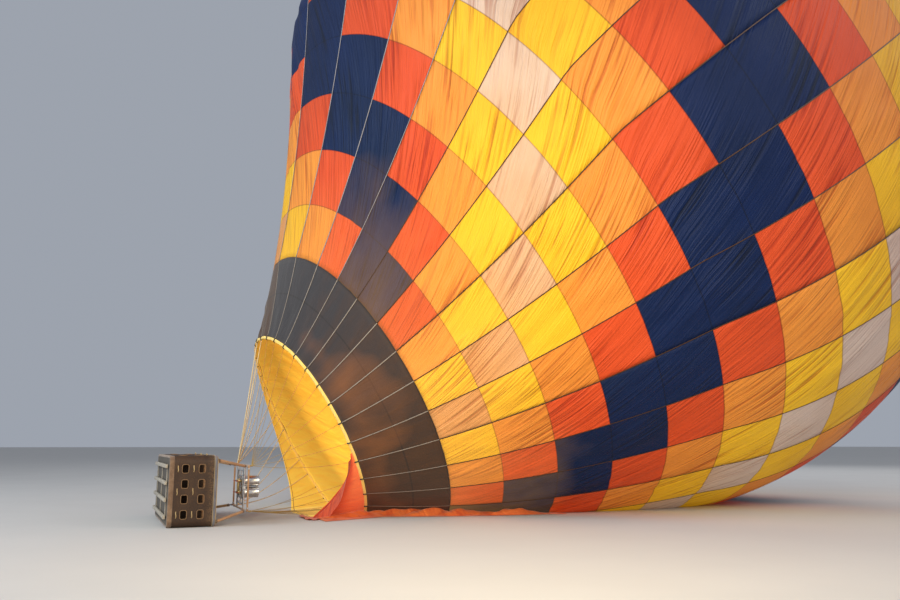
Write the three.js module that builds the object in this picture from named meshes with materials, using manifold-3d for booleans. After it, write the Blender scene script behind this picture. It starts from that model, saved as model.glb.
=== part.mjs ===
// A large passenger hot air balloon, lying on the ground for inflation.
// The origin is the centre of the load frame. +X runs from the basket to the mouth, +Y along the
// basket's long side and +Z up. Sizes are in millimetres and angles in degrees.
import * as THREE from 'three';
import { mergeVertices } from 'three/addons/utils/BufferGeometryUtils.js';
import Module from 'manifold-3d';

const wasm = await Module();
wasm.setup();

// Driving dimensions
const gap = 0.3;
const basketWidth = 1700;
const basketLength = 4200;
const basketHeight = 1130;
const basketCorner = 190;
const wallThick = 60;
const rimToFrame = 900;
const groundZ = -basketWidth / 2;
const rimX = -rimToFrame;
const floorX = rimX - basketHeight;

const shellThick = 10;
const goreCount = 36;
const goresPerPanel = 3;
const normalRows = 0.05;
const normalAngle = 2.5;
const goreBulge = 0.001;
const firstTape = 70.5;
const heading = 2.3;
const coneAngle = 33.7;
const sphereRadius = 12900;
const crownFlatness = 0.89;
const crownArc = 0.935;
const rowHeight = 1875;
const ventRow = 17.5;
const firstSeam = 9640;
const bandRows = 1.65;
const shapeRows = 1.4;
const firstSeamCentre = { x: 3480, y: 2120, z: 2680 };
const mouthTilt = 25.4;
const tiltPerMetre = 0.57;
const mouthWidening = 0.08;
const bodyNarrowing = 0.084;
const farTuck = 0.42;
const tuckFade = 1.3;
const topDent = 0.12;
const topDentFade = 3;
const topDentAngle = 110;
const undersideLift = 0.094;
const topSpread = 38;
const spreadStart = 42.5;
const spreadPeak = 110.5;
const spreadFade = 8;

const frameLength = 2400;
const frameWidth = 1200;
const frameTube = 50;
const gimbalY = 960;
const gimbalZ = 900;
const blockSize = 620;
const pinRadius = 15;
const pinPlay = 1.5;
const gimbalTube = 40;
const gimbalClear = 10;
const canRadius = 140;
const canLength = 420;
const canWall = 5;
const canBase = 12;
const canSpacing = 300;
const canSides = 20;
const crossInset = 5;
const pinSides = 16;

const seamGap = 0.001;
const bulgeRise = 0.3;
const rimTapeRows = 0.03;
const rimTapeExtra = 4;
const liningFirst = 20;
const liningGores = 13;
const liningDepth = 40;
const scoopFirst = 8.5;
const scoopLast = 34;
const scoopReach = 2300;
const scoopSkew = 2.1;
const scoopPeak = 1.5;
const scoopFlare = 0.1;
const scoopClear = 25;
const scoopHem = 60;
const scoopParts = [1, 0.75, 0.5, 0.25, 0.05, 0];
const hookPull = 3;
const apronRows = [-1.5, -0.7, 0, 1, 2.2];
const apronFront = 1900;
const apronSpread = 700;
const apronWidth = 900;
const apronEnd = 350;
const apronClear = 120;
const apronThick = 14;

const hubRadius = 220;
const hubWidth = 60;
const edgeTape = 60;
const edgeClear = 8;
const tapeWidth = 50;
const tapeThick = 12;
const crownSpokes = 18;
const spokeSteps = 5;
const ringThick = 24;
const ventLap = 260;
const ventBelow = 45;

const hookX = 62;
const hookLength = 70;
const hookRadius = 22;
const hookY = (frameLength - frameTube) / 2;
const hookZ = (frameWidth - frameTube) / 2;
const wireRadius = 8;
const wireSag = 0.06;
const wireLowest = 30;
const wireClearRows = 0.02;
const wireInside = 20;
const wireSteps = 6;
const wireSides = 5;
const hookSides = 8;

const uprightRadius = 38;
const uprightSides = 10;
const uprightInset = 110;
const bolsterHeight = 90;
const bolsterOutset = 12;
const edgingHeight = 120;
const floorThick = 40;
const stepLow = 370;
const stepHigh = 760;
const stepSpacing = 360;
const sideStepSpacing = 520;
const endSteps = [-1.5, -0.5, 0.5, 1.5];
const sideSteps = [-3, -2, 2, 3];
const stepTall = 150;
const stepWide = 200;
const runnerSpacing = 400;
const runnerPlaces = [-1.5, -0.5, 0.5, 1.5];
const runnerWidth = 90;
const runnerThick = 60;
const battenThick = 20;
const battenSpacing = 1600;
const battenPlaces = [-1, 0, 1];
const pilotLength = 1000;
const partitionThick = 50;
const partitionDrop = 110;
const tankRadius = 150;
const tankLength = 850;
const tankCollar = 60;
const tankNeck = 70;
const tankY = 300;
const tankZ = 600;
const tankShoulder = 68;
const tankBaseRadius = 120;
const tankTopRadius = 105;
const tankSides = 20;

const weldReach = 0.001;
const cornerSegments = 4;
const deg = Math.PI / 180;
const group = new THREE.Group();

const finish = {
  fabric: { color: 0xf0a020, roughness: 0.7, metalness: 0 },
  band: { color: 0x3a3230, roughness: 0.8, metalness: 0 },
  yellow: { color: 0xf2c53a, roughness: 0.7, metalness: 0 },
  apron: { color: 0xd8431f, roughness: 0.75, metalness: 0 },
  webbing: { color: 0x2c2c30, roughness: 0.8, metalness: 0 },
  wire: { color: 0xd9c48f, roughness: 0.6, metalness: 0.1 },
  steel: { color: 0xb9bcc0, roughness: 0.35, metalness: 0.9 },
  burner: { color: 0xc9ccd0, roughness: 0.25, metalness: 0.95 },
  suede: { color: 0x8a5a3a, roughness: 0.9, metalness: 0 },
  leather: { color: 0x4a3526, roughness: 0.8, metalness: 0 },
  wicker: { color: 0x7a5230, roughness: 0.85, metalness: 0 },
  wood: { color: 0xb9a98c, roughness: 0.7, metalness: 0 },
  tank: { color: 0xa9adb2, roughness: 0.4, metalness: 0.8 },
};

function addMesh(name, geometry, look) {
  const mesh = new THREE.Mesh(geometry, new THREE.MeshStandardMaterial(look));
  mesh.name = name;
  group.add(mesh);
}

// Solids for cutting and joining

function toSolid(geometry) {
  const bare = geometry.clone();
  bare.deleteAttribute('normal');
  bare.deleteAttribute('uv');
  const merged = mergeVertices(bare, weldReach);
  return new wasm.Manifold(new wasm.Mesh({
    numProp: 3,
    vertProperties: new Float32Array(merged.attributes.position.array),
    triVerts: new Uint32Array(merged.index.array),
  }));
}

function toGeometry(solid) {
  const mesh = solid.getMesh();
  const geometry = new THREE.BufferGeometry();
  geometry.setAttribute('position', new THREE.BufferAttribute(mesh.vertProperties, 3));
  geometry.setIndex(new THREE.BufferAttribute(mesh.triVerts, 1));
  geometry.computeVertexNormals();
  return geometry;
}

function join(geometries) {
  return toGeometry(geometries.map(toSolid).reduce((a, b) => a.add(b)));
}

function cut(geometry, cutters) {
  return toGeometry(cutters.map(toSolid).reduce((a, b) => a.subtract(b), toSolid(geometry)));
}

function box(low, high) {
  const size = high.map((value, i) => value - low[i]);
  const middle = high.map((value, i) => (value + low[i]) / 2);
  return new THREE.BoxGeometry(...size).translate(...middle);
}

// Turns a shape drawn in (x, y) and extruded along z into one drawn in (Y, Z) and extruded along X.
function alongX(geometry) {
  return geometry.applyMatrix4(new THREE.Matrix4().makeBasis(
    new THREE.Vector3(0, 1, 0), new THREE.Vector3(0, 0, 1), new THREE.Vector3(1, 0, 0)));
}

function roundedOutline(target, length, width, radius) {
  const y = length / 2;
  const z = width / 2;
  target.moveTo(-y + radius, -z);
  target.lineTo(y - radius, -z);
  target.absarc(y - radius, -z + radius, radius, -Math.PI / 2, 0);
  target.lineTo(y, z - radius);
  target.absarc(y - radius, z - radius, radius, 0, Math.PI / 2);
  target.lineTo(-y + radius, z);
  target.absarc(-y + radius, z - radius, radius, Math.PI / 2, Math.PI);
  target.lineTo(-y, -z + radius);
  target.absarc(-y + radius, -z + radius, radius, Math.PI, Math.PI * 1.5);
  return target;
}

// A rounded rectangular ring or plate round the basket's axis, from x0 to x1.
function basketRing(x0, x1, outset, inset) {
  const shape = roundedOutline(new THREE.Shape(),
    basketLength + 2 * outset, basketWidth + 2 * outset, basketCorner + outset);
  if (inset !== null) {
    shape.holes.push(roundedOutline(new THREE.Path(),
      basketLength - 2 * inset, basketWidth - 2 * inset, basketCorner - inset));
  }
  const extrusion = new THREE.ExtrudeGeometry(shape,
    { depth: x1 - x0, bevelEnabled: false, curveSegments: cornerSegments });
  return alongX(extrusion).translate(x0, 0, 0);
}

function rod(from, to, radius, sides) {
  const a = new THREE.Vector3(...from);
  const b = new THREE.Vector3(...to);
  const geometry = new THREE.CylinderGeometry(radius, radius, a.distanceTo(b), sides);
  geometry.applyQuaternion(new THREE.Quaternion().setFromUnitVectors(
    new THREE.Vector3(0, 1, 0), b.clone().sub(a).normalize()));
  return geometry.translate(...a.add(b).multiplyScalar(0.5).toArray());
}

// A closed mesh from a grid of outer points and a grid of inner points.
// wrap joins the last column to the first.
function sheetSolid(outer, inner, wrap) {
  const rows = outer.length;
  const columns = outer[0].length;
  const position = [...outer.flat(), ...inner.flat()].flatMap((p) => p.toArray());
  const index = [];
  const at = (side, r, c) => side * rows * columns + r * columns + (c % columns);
  const quad = (a, b, c, d) => index.push(a, b, c, a, c, d);
  const steps = wrap ? columns : columns - 1;
  for (let r = 0; r < rows - 1; r += 1) {
    for (let c = 0; c < steps; c += 1) {
      quad(at(0, r, c), at(0, r, c + 1), at(0, r + 1, c + 1), at(0, r + 1, c));
      quad(at(1, r, c), at(1, r + 1, c), at(1, r + 1, c + 1), at(1, r, c + 1));
    }
  }
  for (let c = 0; c < steps; c += 1) {
    quad(at(0, 0, c), at(1, 0, c), at(1, 0, c + 1), at(0, 0, c + 1));
    quad(at(0, rows - 1, c), at(0, rows - 1, c + 1), at(1, rows - 1, c + 1), at(1, rows - 1, c));
  }
  if (!wrap) {
    for (let r = 0; r < rows - 1; r += 1) {
      quad(at(0, r, 0), at(0, r + 1, 0), at(1, r + 1, 0), at(1, r, 0));
      const last = columns - 1;
      quad(at(0, r, last), at(1, r, last), at(1, r + 1, last), at(0, r + 1, last));
    }
  }
  const geometry = new THREE.BufferGeometry();
  geometry.setAttribute('position', new THREE.Float32BufferAttribute(position, 3));
  geometry.setIndex(index);
  geometry.computeVertexNormals();
  return geometry;
}

// The envelope's surface. A row counts seams from the first one above the band.

const ahead = new THREE.Vector3(Math.cos(heading * deg), Math.sin(heading * deg), 0);
const nearSide = new THREE.Vector3(Math.sin(heading * deg), -Math.cos(heading * deg), 0);
const up = new THREE.Vector3(0, 0, 1);
const shoulderSlant = sphereRadius / Math.tan(coneAngle * deg);
const equatorSlant = shoulderSlant + sphereRadius * coneAngle * deg;
const rowsToEquator = (equatorSlant - firstSeam) / rowHeight;
const rimRow = -bandRows;

function tiltAt(row) {
  const slant = Math.min(firstSeam + row * rowHeight, shoulderSlant);
  return mouthTilt + tiltPerMetre * slant / 1000;
}

// The centre of a ring before the shoulder. It lies along and above the first seam's by these
// amounts per metre of slant and per metre squared.
const centreAlong = [458, 1];
const centreAbove = [357, 7];

function lowerCentre(slant) {
  const d = (slant - firstSeam) / 1000;
  return new THREE.Vector3(firstSeamCentre.x, firstSeamCentre.y, firstSeamCentre.z)
    .addScaledVector(ahead, centreAlong[0] * d + centreAlong[1] * d * d)
    .addScaledVector(up, centreAbove[0] * d + centreAbove[1] * d * d);
}

function ringAt(row) {
  const slant = firstSeam + row * rowHeight;
  const tilt = tiltAt(row) * deg;
  const axis = ahead.clone().multiplyScalar(Math.cos(tilt)).addScaledVector(up, Math.sin(tilt));
  const across = up.clone().multiplyScalar(Math.cos(tilt)).addScaledVector(ahead, -Math.sin(tilt));
  if (slant < shoulderSlant) {
    return { centre: lowerCentre(slant), radius: slant * Math.sin(coneAngle * deg), across };
  }
  const shoulder = lowerCentre(shoulderSlant);
  const toEquator = sphereRadius * Math.sin(coneAngle * deg);
  const turn = (slant - equatorSlant) / sphereRadius;
  const angle = turn < 0 ? turn : turn / crownArc;
  const along = toEquator + sphereRadius * (turn < 0 ? 1 : crownFlatness) * Math.sin(angle);
  const centre = shoulder.addScaledVector(axis, along);
  return { centre, radius: sphereRadius * Math.cos(angle), across };
}

// The gores over the top are drawn wide and those of the far side lie slack. This is how far
// a place round the envelope has moved, none at the rim and at the vent.
function spreadAt(row, angle) {
  const ground = 270;
  const a = ((angle + 90) % 360 + 360) % 360 - 90;
  const part = a < spreadPeak
    ? Math.max(0, (a - spreadStart) / (spreadPeak - spreadStart))
    : (ground - a) / (ground - spreadPeak);
  const reach = Math.min(1, (row - rimRow) / bandRows, (ventRow - row) / spreadFade);
  return topSpread * Math.sin(part * Math.PI / 2) ** 2 * Math.max(0, reach);
}

// A point on the round skin at a row and an angle. The half-filled envelope is wider than it is
// tall at the mouth and narrower above it, its far side hangs in, and it is round at the vent.
function roundPoint(row, angle) {
  const ring = ringAt(row);
  const rise = Math.min(1, Math.max(0, (row + shapeRows) / (ventRow + shapeRows)));
  const tape = (((firstTape - angle) * goreCount / 360) % 1 + 1) % 1;
  const bulge = 1 + goreBulge * Math.sin(Math.PI * tape) * Math.min(1, rise / bulgeRise);
  const wide = mouthWidening * (1 - rise) ** 2 - bodyNarrowing * Math.sin(Math.PI * rise);
  const moved = angle + spreadAt(row, angle);
  const c = Math.cos(moved * deg);
  const s = Math.sin(moved * deg);
  const tuck = c < 0 ? 1 - farTuck * (1 - rise) ** tuckFade : 1;
  const lift = s < 0 ? 1 - undersideLift * Math.sin(Math.PI * rise) : 1;
  const dentAt = Math.max(0, Math.cos((moved - topDentAngle) * deg)) ** 2;
  const size = ring.radius * bulge * (1 - topDent * (1 - rise) ** topDentFade * dentAt);
  return ring.centre.clone()
    .addScaledVector(nearSide, size * (1 + wide) * c * tuck)
    .addScaledVector(ring.across, size * (1 - wide) * s * lift);
}

function skinPoint(row, angle, depth = 0) {
  const point = roundPoint(row, angle);
  if (depth !== 0) {
    const alongRow = roundPoint(row + normalRows, angle).sub(roundPoint(row - normalRows, angle));
    const round = roundPoint(row, angle + normalAngle).sub(roundPoint(row, angle - normalAngle));
    point.addScaledVector(alongRow.cross(round).normalize(), -depth);
  }
  point.z = Math.max(point.z, groundZ + Math.max(depth, 0));
  return point;
}

function skinGrid(rows, angles, depth) {
  return rows.map((row) => angles.map((angle) => skinPoint(row, angle, depth)));
}

const goreAngle = 360 / goreCount;
const panelRows = [...Array(Math.ceil(ventRow)).keys(), ventRow];

function envelopePanels() {
  const count = goreCount / goresPerPanel;
  for (let panel = 0; panel < count; panel += 1) {
    const start = firstTape - panel * goresPerPanel * goreAngle;
    const steps = goresPerPanel * 2;
    const grid = (depth) => panelRows.map((row) => {
      const slack = gap / ringAt(row).radius / deg;
      return Array.from({ length: steps + 1 }, (_, i) => {
        const side = i === 0 ? -slack : i === steps ? slack : 0;
        return skinPoint(row, start - i * goreAngle / 2 + side, depth);
      });
    });
    addMesh(`envelope_panel_${String(panel + 1).padStart(2, '0')}`,
      sheetSolid(grid(0), grid(shellThick), false), finish.fabric);
  }
}

function mouthBand() {
  const angles = Array.from({ length: goreCount * 2 }, (_, i) => firstTape - i * goreAngle / 2);
  const ring = (rows, outset) => sheetSolid(
    skinGrid(rows, angles, -outset), skinGrid(rows, angles, shellThick + outset), true);
  addMesh('mouth_band', ring([rimRow, rimRow / 2, -seamGap], 0), finish.band);
  const rimRows = [rimRow - rimTapeRows, rimRow - 4 * seamGap];
  addMesh('mouth_rim', ring(rimRows, rimTapeExtra), finish.yellow);
}

// The lining covers the inside of the mouth's far half, from the rim past the first seam.
function lining() {
  const rows = [rimRow, rimRow / 2, 0, panelRows[1]];
  const angles = Array.from({ length: 2 * liningGores + 1 },
    (_, i) => firstTape - (liningFirst + i / 2) * goreAngle);
  addMesh('mouth_lining', sheetSolid(skinGrid(rows, angles, liningDepth),
    skinGrid(rows, angles, liningDepth + shellThick), false), finish.yellow);
}

// The scoop hangs from the rim outside the flying wires, follows them towards the basket
// and lies on the ground at its lowest.
function scoopPoint(gore, part, depth) {
  const angle = firstTape - gore * goreAngle;
  const c = Math.cos(angle * deg);
  const s = Math.sin(angle * deg);
  const edge = roundPoint(rimRow - rimTapeRows - seamGap, angle);
  const outward = nearSide.clone().multiplyScalar(c).addScaledVector(ringAt(rimRow).across, s);
  const focus = new THREE.Vector3(
    0, -hookY * Math.tanh(hookPull * c), hookZ * Math.tanh(hookPull * s));
  const along = focus.sub(edge).normalize().addScaledVector(outward, scoopFlare);
  const turn = Math.min(1, (scoopLast - gore) / (scoopLast - scoopFirst));
  const reach = scoopHem + scoopReach * Math.sin(Math.PI * turn ** scoopSkew) ** scoopPeak;
  edge.addScaledVector(along, reach * part);
  edge.addScaledVector(outward, scoopClear * Math.min(1, part * reach / scoopHem) - depth);
  edge.z = Math.max(edge.z, groundZ + depth);
  return edge;
}

function scoop() {
  const columns = Array.from(
    { length: 2 * (scoopLast - scoopFirst) + 1 }, (_, i) => scoopFirst + i / 2);
  const grid = (depth) => scoopParts.map((part) => columns.map(
    (gore) => scoopPoint(gore, part, depth)));
  addMesh('scoop', sheetSolid(grid(0), grid(shellThick), false), finish.yellow);
}

// The angle at which a row's near side leaves the ground
function groundAngle(row) {
  const halvings = 20;
  let low = -90;
  let high = 0;
  for (let i = 0; i < halvings; i += 1) {
    const middle = (low + high) / 2;
    if (roundPoint(row, middle).z < groundZ) low = middle; else high = middle;
  }
  return low;
}

// The apron is the slack hem that lies on the ground along the near side of the mouth.
function apron() {
  const edges = apronRows.map((row, i) => {
    const inner = skinPoint(row, groundAngle(row)).addScaledVector(nearSide, apronClear);
    return { inner, width: apronWidth + (apronEnd - apronWidth) * i / (apronRows.length - 1) };
  });
  const front = edges[0].inner.clone()
    .addScaledVector(ahead, -apronFront).addScaledVector(nearSide, apronSpread);
  edges.unshift({ inner: front, width: apronWidth });
  const grid = (height) => [1, 0.5, 0].map((part) => edges.map(({ inner, width }) => {
    const point = inner.clone().addScaledVector(nearSide, part * width);
    point.z = groundZ + height;
    return point;
  }));
  addMesh('mouth_apron', sheetSolid(grid(apronThick), grid(0), false), finish.apron);
}

// The crown, drawn about the envelope's axis from the equator's centre

const crownTilt = tiltAt(rowsToEquator) * deg;
const crownAxis = ahead.clone().multiplyScalar(Math.cos(crownTilt))
  .addScaledVector(up, Math.sin(crownTilt));
const equator = ringAt(rowsToEquator);
const crownPlace = new THREE.Matrix4()
  .makeBasis(equator.across, nearSide, crownAxis).setPosition(equator.centre);
const ventRadius = ringAt(ventRow).radius;

function domeHeight(r) {
  return sphereRadius * crownFlatness * Math.sqrt(1 - (r / sphereRadius) ** 2);
}

// A ring or disc that follows the dome from r0 to r1, with its top at the given height above it.
function domeDisc(r0, r1, top, thick, rings, sides) {
  const radii = Array.from({ length: rings + 1 }, (_, i) => r0 + (r1 - r0) * i / rings);
  const lower = radii.map((r) => new THREE.Vector2(r, domeHeight(r) + top - thick));
  const upper = radii.map((r) => new THREE.Vector2(r, domeHeight(r) + top)).reverse();
  const profile = [...lower, ...upper];
  if (r0 > 0) {
    profile.push(lower[0].clone());
  }
  return new THREE.LatheGeometry(profile, sides).rotateX(Math.PI / 2);
}

function crownTapes() {
  const spoke = new THREE.Shape();
  const radii = Array.from({ length: spokeSteps + 1 },
    (_, i) => hubRadius + (ventRadius - edgeTape - hubRadius) * i / spokeSteps);
  spoke.moveTo(radii[0], domeHeight(radii[0]));
  radii.slice(1).forEach((r) => spoke.lineTo(r, domeHeight(r)));
  [...radii].reverse().forEach((r) => spoke.lineTo(r, domeHeight(r) + tapeThick));
  const ringTop = (tapeThick + ringThick) / 2;
  const pieces = [
    domeDisc(hubRadius - hubWidth, hubRadius + hubWidth, ringTop, ringThick, 1, crownSpokes),
    domeDisc(ventRadius - 2 * edgeTape, ventRadius - edgeClear, ringTop, ringThick, 1, goreCount),
  ];
  for (let i = 0; i < crownSpokes; i += 1) {
    pieces.push(new THREE.ExtrudeGeometry(spoke, { depth: tapeWidth, bevelEnabled: false })
      .translate(0, 0, -tapeWidth / 2).rotateX(Math.PI / 2).rotateZ(i * 2 * Math.PI / crownSpokes));
  }
  addMesh('crown_tapes', join(pieces).applyMatrix4(crownPlace), finish.webbing);
}

function parachuteVent() {
  addMesh('parachute_vent', domeDisc(0, ventRadius + ventLap, -ventBelow, shellThick, 5, 24)
    .applyMatrix4(crownPlace), finish.fabric);
}

// Flying wires from each corner of the load frame to every other tape on the mouth's rim

const corners = [
  { name: 'near_top', y: -1, z: 1, first: 0, count: 5 },
  { name: 'near_bottom', y: -1, z: -1, first: 5, count: 6 },
  { name: 'far_bottom', y: 1, z: -1, first: 11, count: 2 },
  { name: 'far_top', y: 1, z: 1, first: 13, count: 5 },
];

function wireGroup({ name, y, z, first, count }) {
  const hook = new THREE.Vector3(hookX, y * hookY, z * hookZ);
  const section = new THREE.Shape();
  section.absellipse(0, 0, wireRadius, wireRadius, 0, 2 * Math.PI);
  const pieces = [rod([hookX - hookLength / 2, hook.y, hook.z],
    [hookX + hookLength / 2, hook.y, hook.z], hookRadius, hookSides)];
  const endRow = rimRow - rimTapeRows - wireClearRows;
  for (let i = first; i < first + count; i += 1) {
    const end = skinPoint(endRow, firstTape - 2 * i * goreAngle, wireInside);
    end.z = Math.max(end.z, groundZ + wireLowest);
    const middle = hook.clone().add(end).multiplyScalar(0.5);
    middle.z = Math.max(middle.z - hook.distanceTo(end) * wireSag, groundZ + wireLowest);
    const path = new THREE.QuadraticBezierCurve3(hook, middle, end);
    pieces.push(new THREE.ExtrudeGeometry(section,
      { steps: wireSteps, extrudePath: path, bevelEnabled: false, curveSegments: wireSides }));
  }
  addMesh(`flying_wires_${name}`, join(pieces), finish.wire);
}

// Load frame, gimbal ring and burner block

function frameLoop(y, z, tube) {
  const rectangle = (halfY, halfZ) => [[-1, -1], [1, -1], [1, 1], [-1, 1]].map(
    ([a, b]) => new THREE.Vector2(a * halfY, b * halfZ));
  const shape = new THREE.Shape(rectangle(y / 2, z / 2));
  shape.holes.push(new THREE.Path(rectangle(y / 2 - tube, z / 2 - tube)));
  return alongX(new THREE.ExtrudeGeometry(shape, { depth: tube, bevelEnabled: false }))
    .translate(-tube / 2, 0, 0);
}

function loadFrame() {
  const half = frameTube / 2;
  const inside = frameWidth / 2 - half;
  const barY = gimbalY / 2 + gimbalClear + half;
  const bars = [-1, 1].map((side) => box(
    [-half, side * barY - half, -inside], [half, side * barY + half, inside]));
  const bore = rod([0, -barY - frameTube, 0], [0, barY + frameTube, 0],
    pinRadius + pinPlay, pinSides);
  const loop = frameLoop(frameLength, frameWidth, frameTube);
  addMesh('load_frame', cut(join([loop, ...bars]), [bore]), finish.steel);
}

// The gimbal ring turns on pins in the frame's bars, and the block on pins in the ring.
function gimbal() {
  const half = gimbalTube / 2;
  const pinReach = gimbalY / 2 + gimbalClear + frameTube;
  const pins = [-1, 1].map((side) => rod(
    [0, side * (gimbalY / 2 - half), 0], [0, side * pinReach, 0], pinRadius, pinSides));
  const bore = rod([0, 0, -gimbalZ], [0, 0, gimbalZ], pinRadius + pinPlay, pinSides);
  const ring = frameLoop(gimbalY, gimbalZ, gimbalTube);
  addMesh('gimbal_ring', cut(join([ring, ...pins]), [bore]), finish.steel);
  const reach = blockSize / 2 - crossInset;
  const cross = [
    box([-half, -half, -reach], [half, half, reach]),
    box([-half, -reach, -half], [half, reach, half]),
  ];
  const blockPins = [-1, 1].map((side) => rod(
    [0, 0, side * (blockSize / 2 - half)], [0, 0, side * gimbalZ / 2], pinRadius, pinSides));
  const block = frameLoop(blockSize, blockSize, gimbalTube);
  addMesh('burner_block', join([block, ...cross, ...blockPins]), finish.steel);
}

// Each burner is an open can round its coil, on a base that spans the block.
function burners() {
  const x0 = gimbalTube / 2 + gap;
  const profile = [
    [0, 0], [canRadius, 0], [canRadius, canLength], [canRadius - canWall, canLength],
    [canRadius - canWall, canBase], [0, canBase],
  ].map(([r, x]) => new THREE.Vector2(r, x));
  const places = [[-1, 1], [-1, -1], [1, 1], [1, -1]];
  places.forEach(([y, z], i) => {
    const can = new THREE.LatheGeometry(profile, canSides).rotateZ(-Math.PI / 2)
      .translate(x0, y * canSpacing / 2, z * canSpacing / 2);
    addMesh(`burner_can_${i + 1}`, can, finish.burner);
  });
}

// Padded uprights from the basket's corners to the load frame's

function uprights() {
  const reach = basketLength;
  const frameFace = -frameTube / 2 - gap;
  corners.forEach(({ name, y, z }) => {
    const foot = new THREE.Vector3(
      rimX, y * (basketLength / 2 - uprightInset), z * (basketWidth / 2 - uprightInset));
    const head = new THREE.Vector3(
      frameFace, y * (frameLength / 2 - frameTube), z * (frameWidth / 2 - frameTube));
    const spare = head.clone().sub(foot).setLength(2 * uprightRadius);
    const pole = rod(foot.clone().sub(spare).toArray(), head.clone().add(spare).toArray(),
      uprightRadius, uprightSides);
    addMesh(`upright_${name}`, cut(pole, [
      box([rimX - reach, -reach, -reach], [rimX + gap, reach, reach]),
      box([frameFace, -reach, -reach], [reach, reach, reach])]), finish.suede);
  });
}

// The basket. Rounded corner posts stand between its flat walls.

// A box from its two distances along Y on one side of the middle
function sideBox(side, nearY, farY, x, z) {
  const ys = [side * nearY, side * farY];
  return box([x[0], Math.min(...ys), z[0]], [x[1], Math.max(...ys), z[1]]);
}

function basketWalls() {
  const ring = basketRing(
    floorX + edgingHeight + gap, rimX - bolsterHeight - gap, 0, wallThick);
  const far = basketLength;
  const all = [-far, far];
  const cutY = basketLength / 2 - basketCorner;
  const cutZ = basketWidth / 2 - basketCorner;
  const holes = (places, spacing, make) => [stepLow, stepHigh].flatMap((height) => places.map(
    (place) => make([floorX + height - stepTall / 2, floorX + height + stepTall / 2],
      [place * spacing - stepWide / 2, place * spacing + stepWide / 2])));
  [-1, 1].forEach((side) => {
    const rest = [sideBox(side, -far, cutY + gap, all, all),
      box([-far, -far, cutZ], [far, far, far]), box([-far, -far, -far], [far, far, -cutZ])];
    const steps = holes(endSteps, stepSpacing, (x, z) => sideBox(side, cutY, far, x, z));
    addMesh(side < 0 ? 'basket_end_near' : 'basket_end_far',
      cut(ring, [...rest, ...steps]), finish.wicker);
  });
  corners.forEach(({ name, y, z }) => {
    const rest = [sideBox(y, -far, cutY + gap, all, all),
      z < 0 ? box([-far, -far, -cutZ - gap], [far, far, far])
        : box([-far, -far, -far], [far, far, cutZ + gap])];
    addMesh(`basket_corner_${name}`, cut(ring, rest), finish.wicker);
  });
  [-1, 1].forEach((side) => {
    const z = side < 0 ? [-far, 0] : [0, far];
    const other = side < 0 ? [0, far] : [-far, 0];
    const rest = [sideBox(1, cutY, far, all, all), sideBox(-1, cutY, far, all, all),
      box([-far, -far, other[0]], [far, far, other[1]])];
    const steps = holes(sideSteps, sideStepSpacing,
      (x, y) => box([x[0], y[0], z[0]], [x[1], y[1], z[1]]));
    addMesh(side < 0 ? 'basket_side_lower' : 'basket_side_upper',
      cut(ring, [...rest, ...steps]), finish.wicker);
  });
}

function basketTrim() {
  const edging = basketRing(floorX, floorX + edgingHeight, 0, wallThick);
  addMesh('basket_edging', edging, finish.leather);
  const floor = basketRing(floorX, floorX + floorThick, -wallThick - gap, null);
  addMesh('basket_floor', floor, finish.wood);
  const bolster = basketRing(rimX - bolsterHeight, rimX, bolsterOutset, wallThick + bolsterOutset);
  addMesh('basket_bolster', bolster, finish.suede);
}

function runners() {
  const reach = basketLength / 2 - basketCorner;
  const half = runnerWidth / 2;
  const boards = runnerPlaces.map((i) => box(
    [floorX - battenThick - runnerThick, -reach, i * runnerSpacing - half],
    [floorX - battenThick / 2, reach, i * runnerSpacing + half]));
  const across = Math.max(...runnerPlaces) * runnerSpacing + half;
  const battens = battenPlaces.map((i) => box(
    [floorX - battenThick, i * battenSpacing - half, -across],
    [floorX - gap, i * battenSpacing + half, across]));
  addMesh('basket_runners', join([...boards, ...battens]), finish.wood);
}

// Partitions close off the pilot's place in the middle and halve each end.
function partitions() {
  const half = partitionThick / 2;
  const x = [floorX + floorThick + gap, rimX - partitionDrop];
  const inY = basketLength / 2 - wallThick - 2 * gap;
  const inZ = basketWidth / 2 - wallThick - 2 * gap;
  [-1, 1].forEach((side) => {
    const name = side < 0 ? 'near' : 'far';
    const middle = pilotLength / 2;
    addMesh(`partition_cross_${name}`,
      sideBox(side, middle - half, middle + half, x, [-inZ, inZ]), finish.wicker);
    addMesh(`partition_long_${name}`,
      sideBox(side, middle + half + gap, inY, x, [-half, half]), finish.wicker);
  });
}

function cylinders() {
  const profile = [
    [0, 0], [tankBaseRadius, 0], [tankRadius, tankShoulder / 2],
    [tankRadius, tankLength - tankShoulder], [tankTopRadius, tankLength - tankShoulder / 5],
    [tankCollar, tankLength], [tankCollar, tankLength + tankNeck], [0, tankLength + tankNeck],
  ].map(([r, x]) => new THREE.Vector2(r, x));
  corners.forEach(({ name, y, z }) => {
    const tank = new THREE.LatheGeometry(profile, tankSides).rotateZ(-Math.PI / 2)
      .translate(floorX + floorThick + gap, y * tankY, z * tankZ);
    addMesh(`fuel_cylinder_${name}`, tank, finish.tank);
  });
}

envelopePanels();
mouthBand();
lining();
scoop();
apron();
crownTapes();
parachuteVent();
corners.forEach(wireGroup);
loadFrame();
gimbal();
burners();
uprights();
basketWalls();
basketTrim();
runners();
partitions();
cylinders();

export default group;
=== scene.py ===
import math
import random
from functools import partial
from math import cos, pi, radians, sin

import bmesh
import bpy
from mathutils import Matrix, Vector, noise


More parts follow.
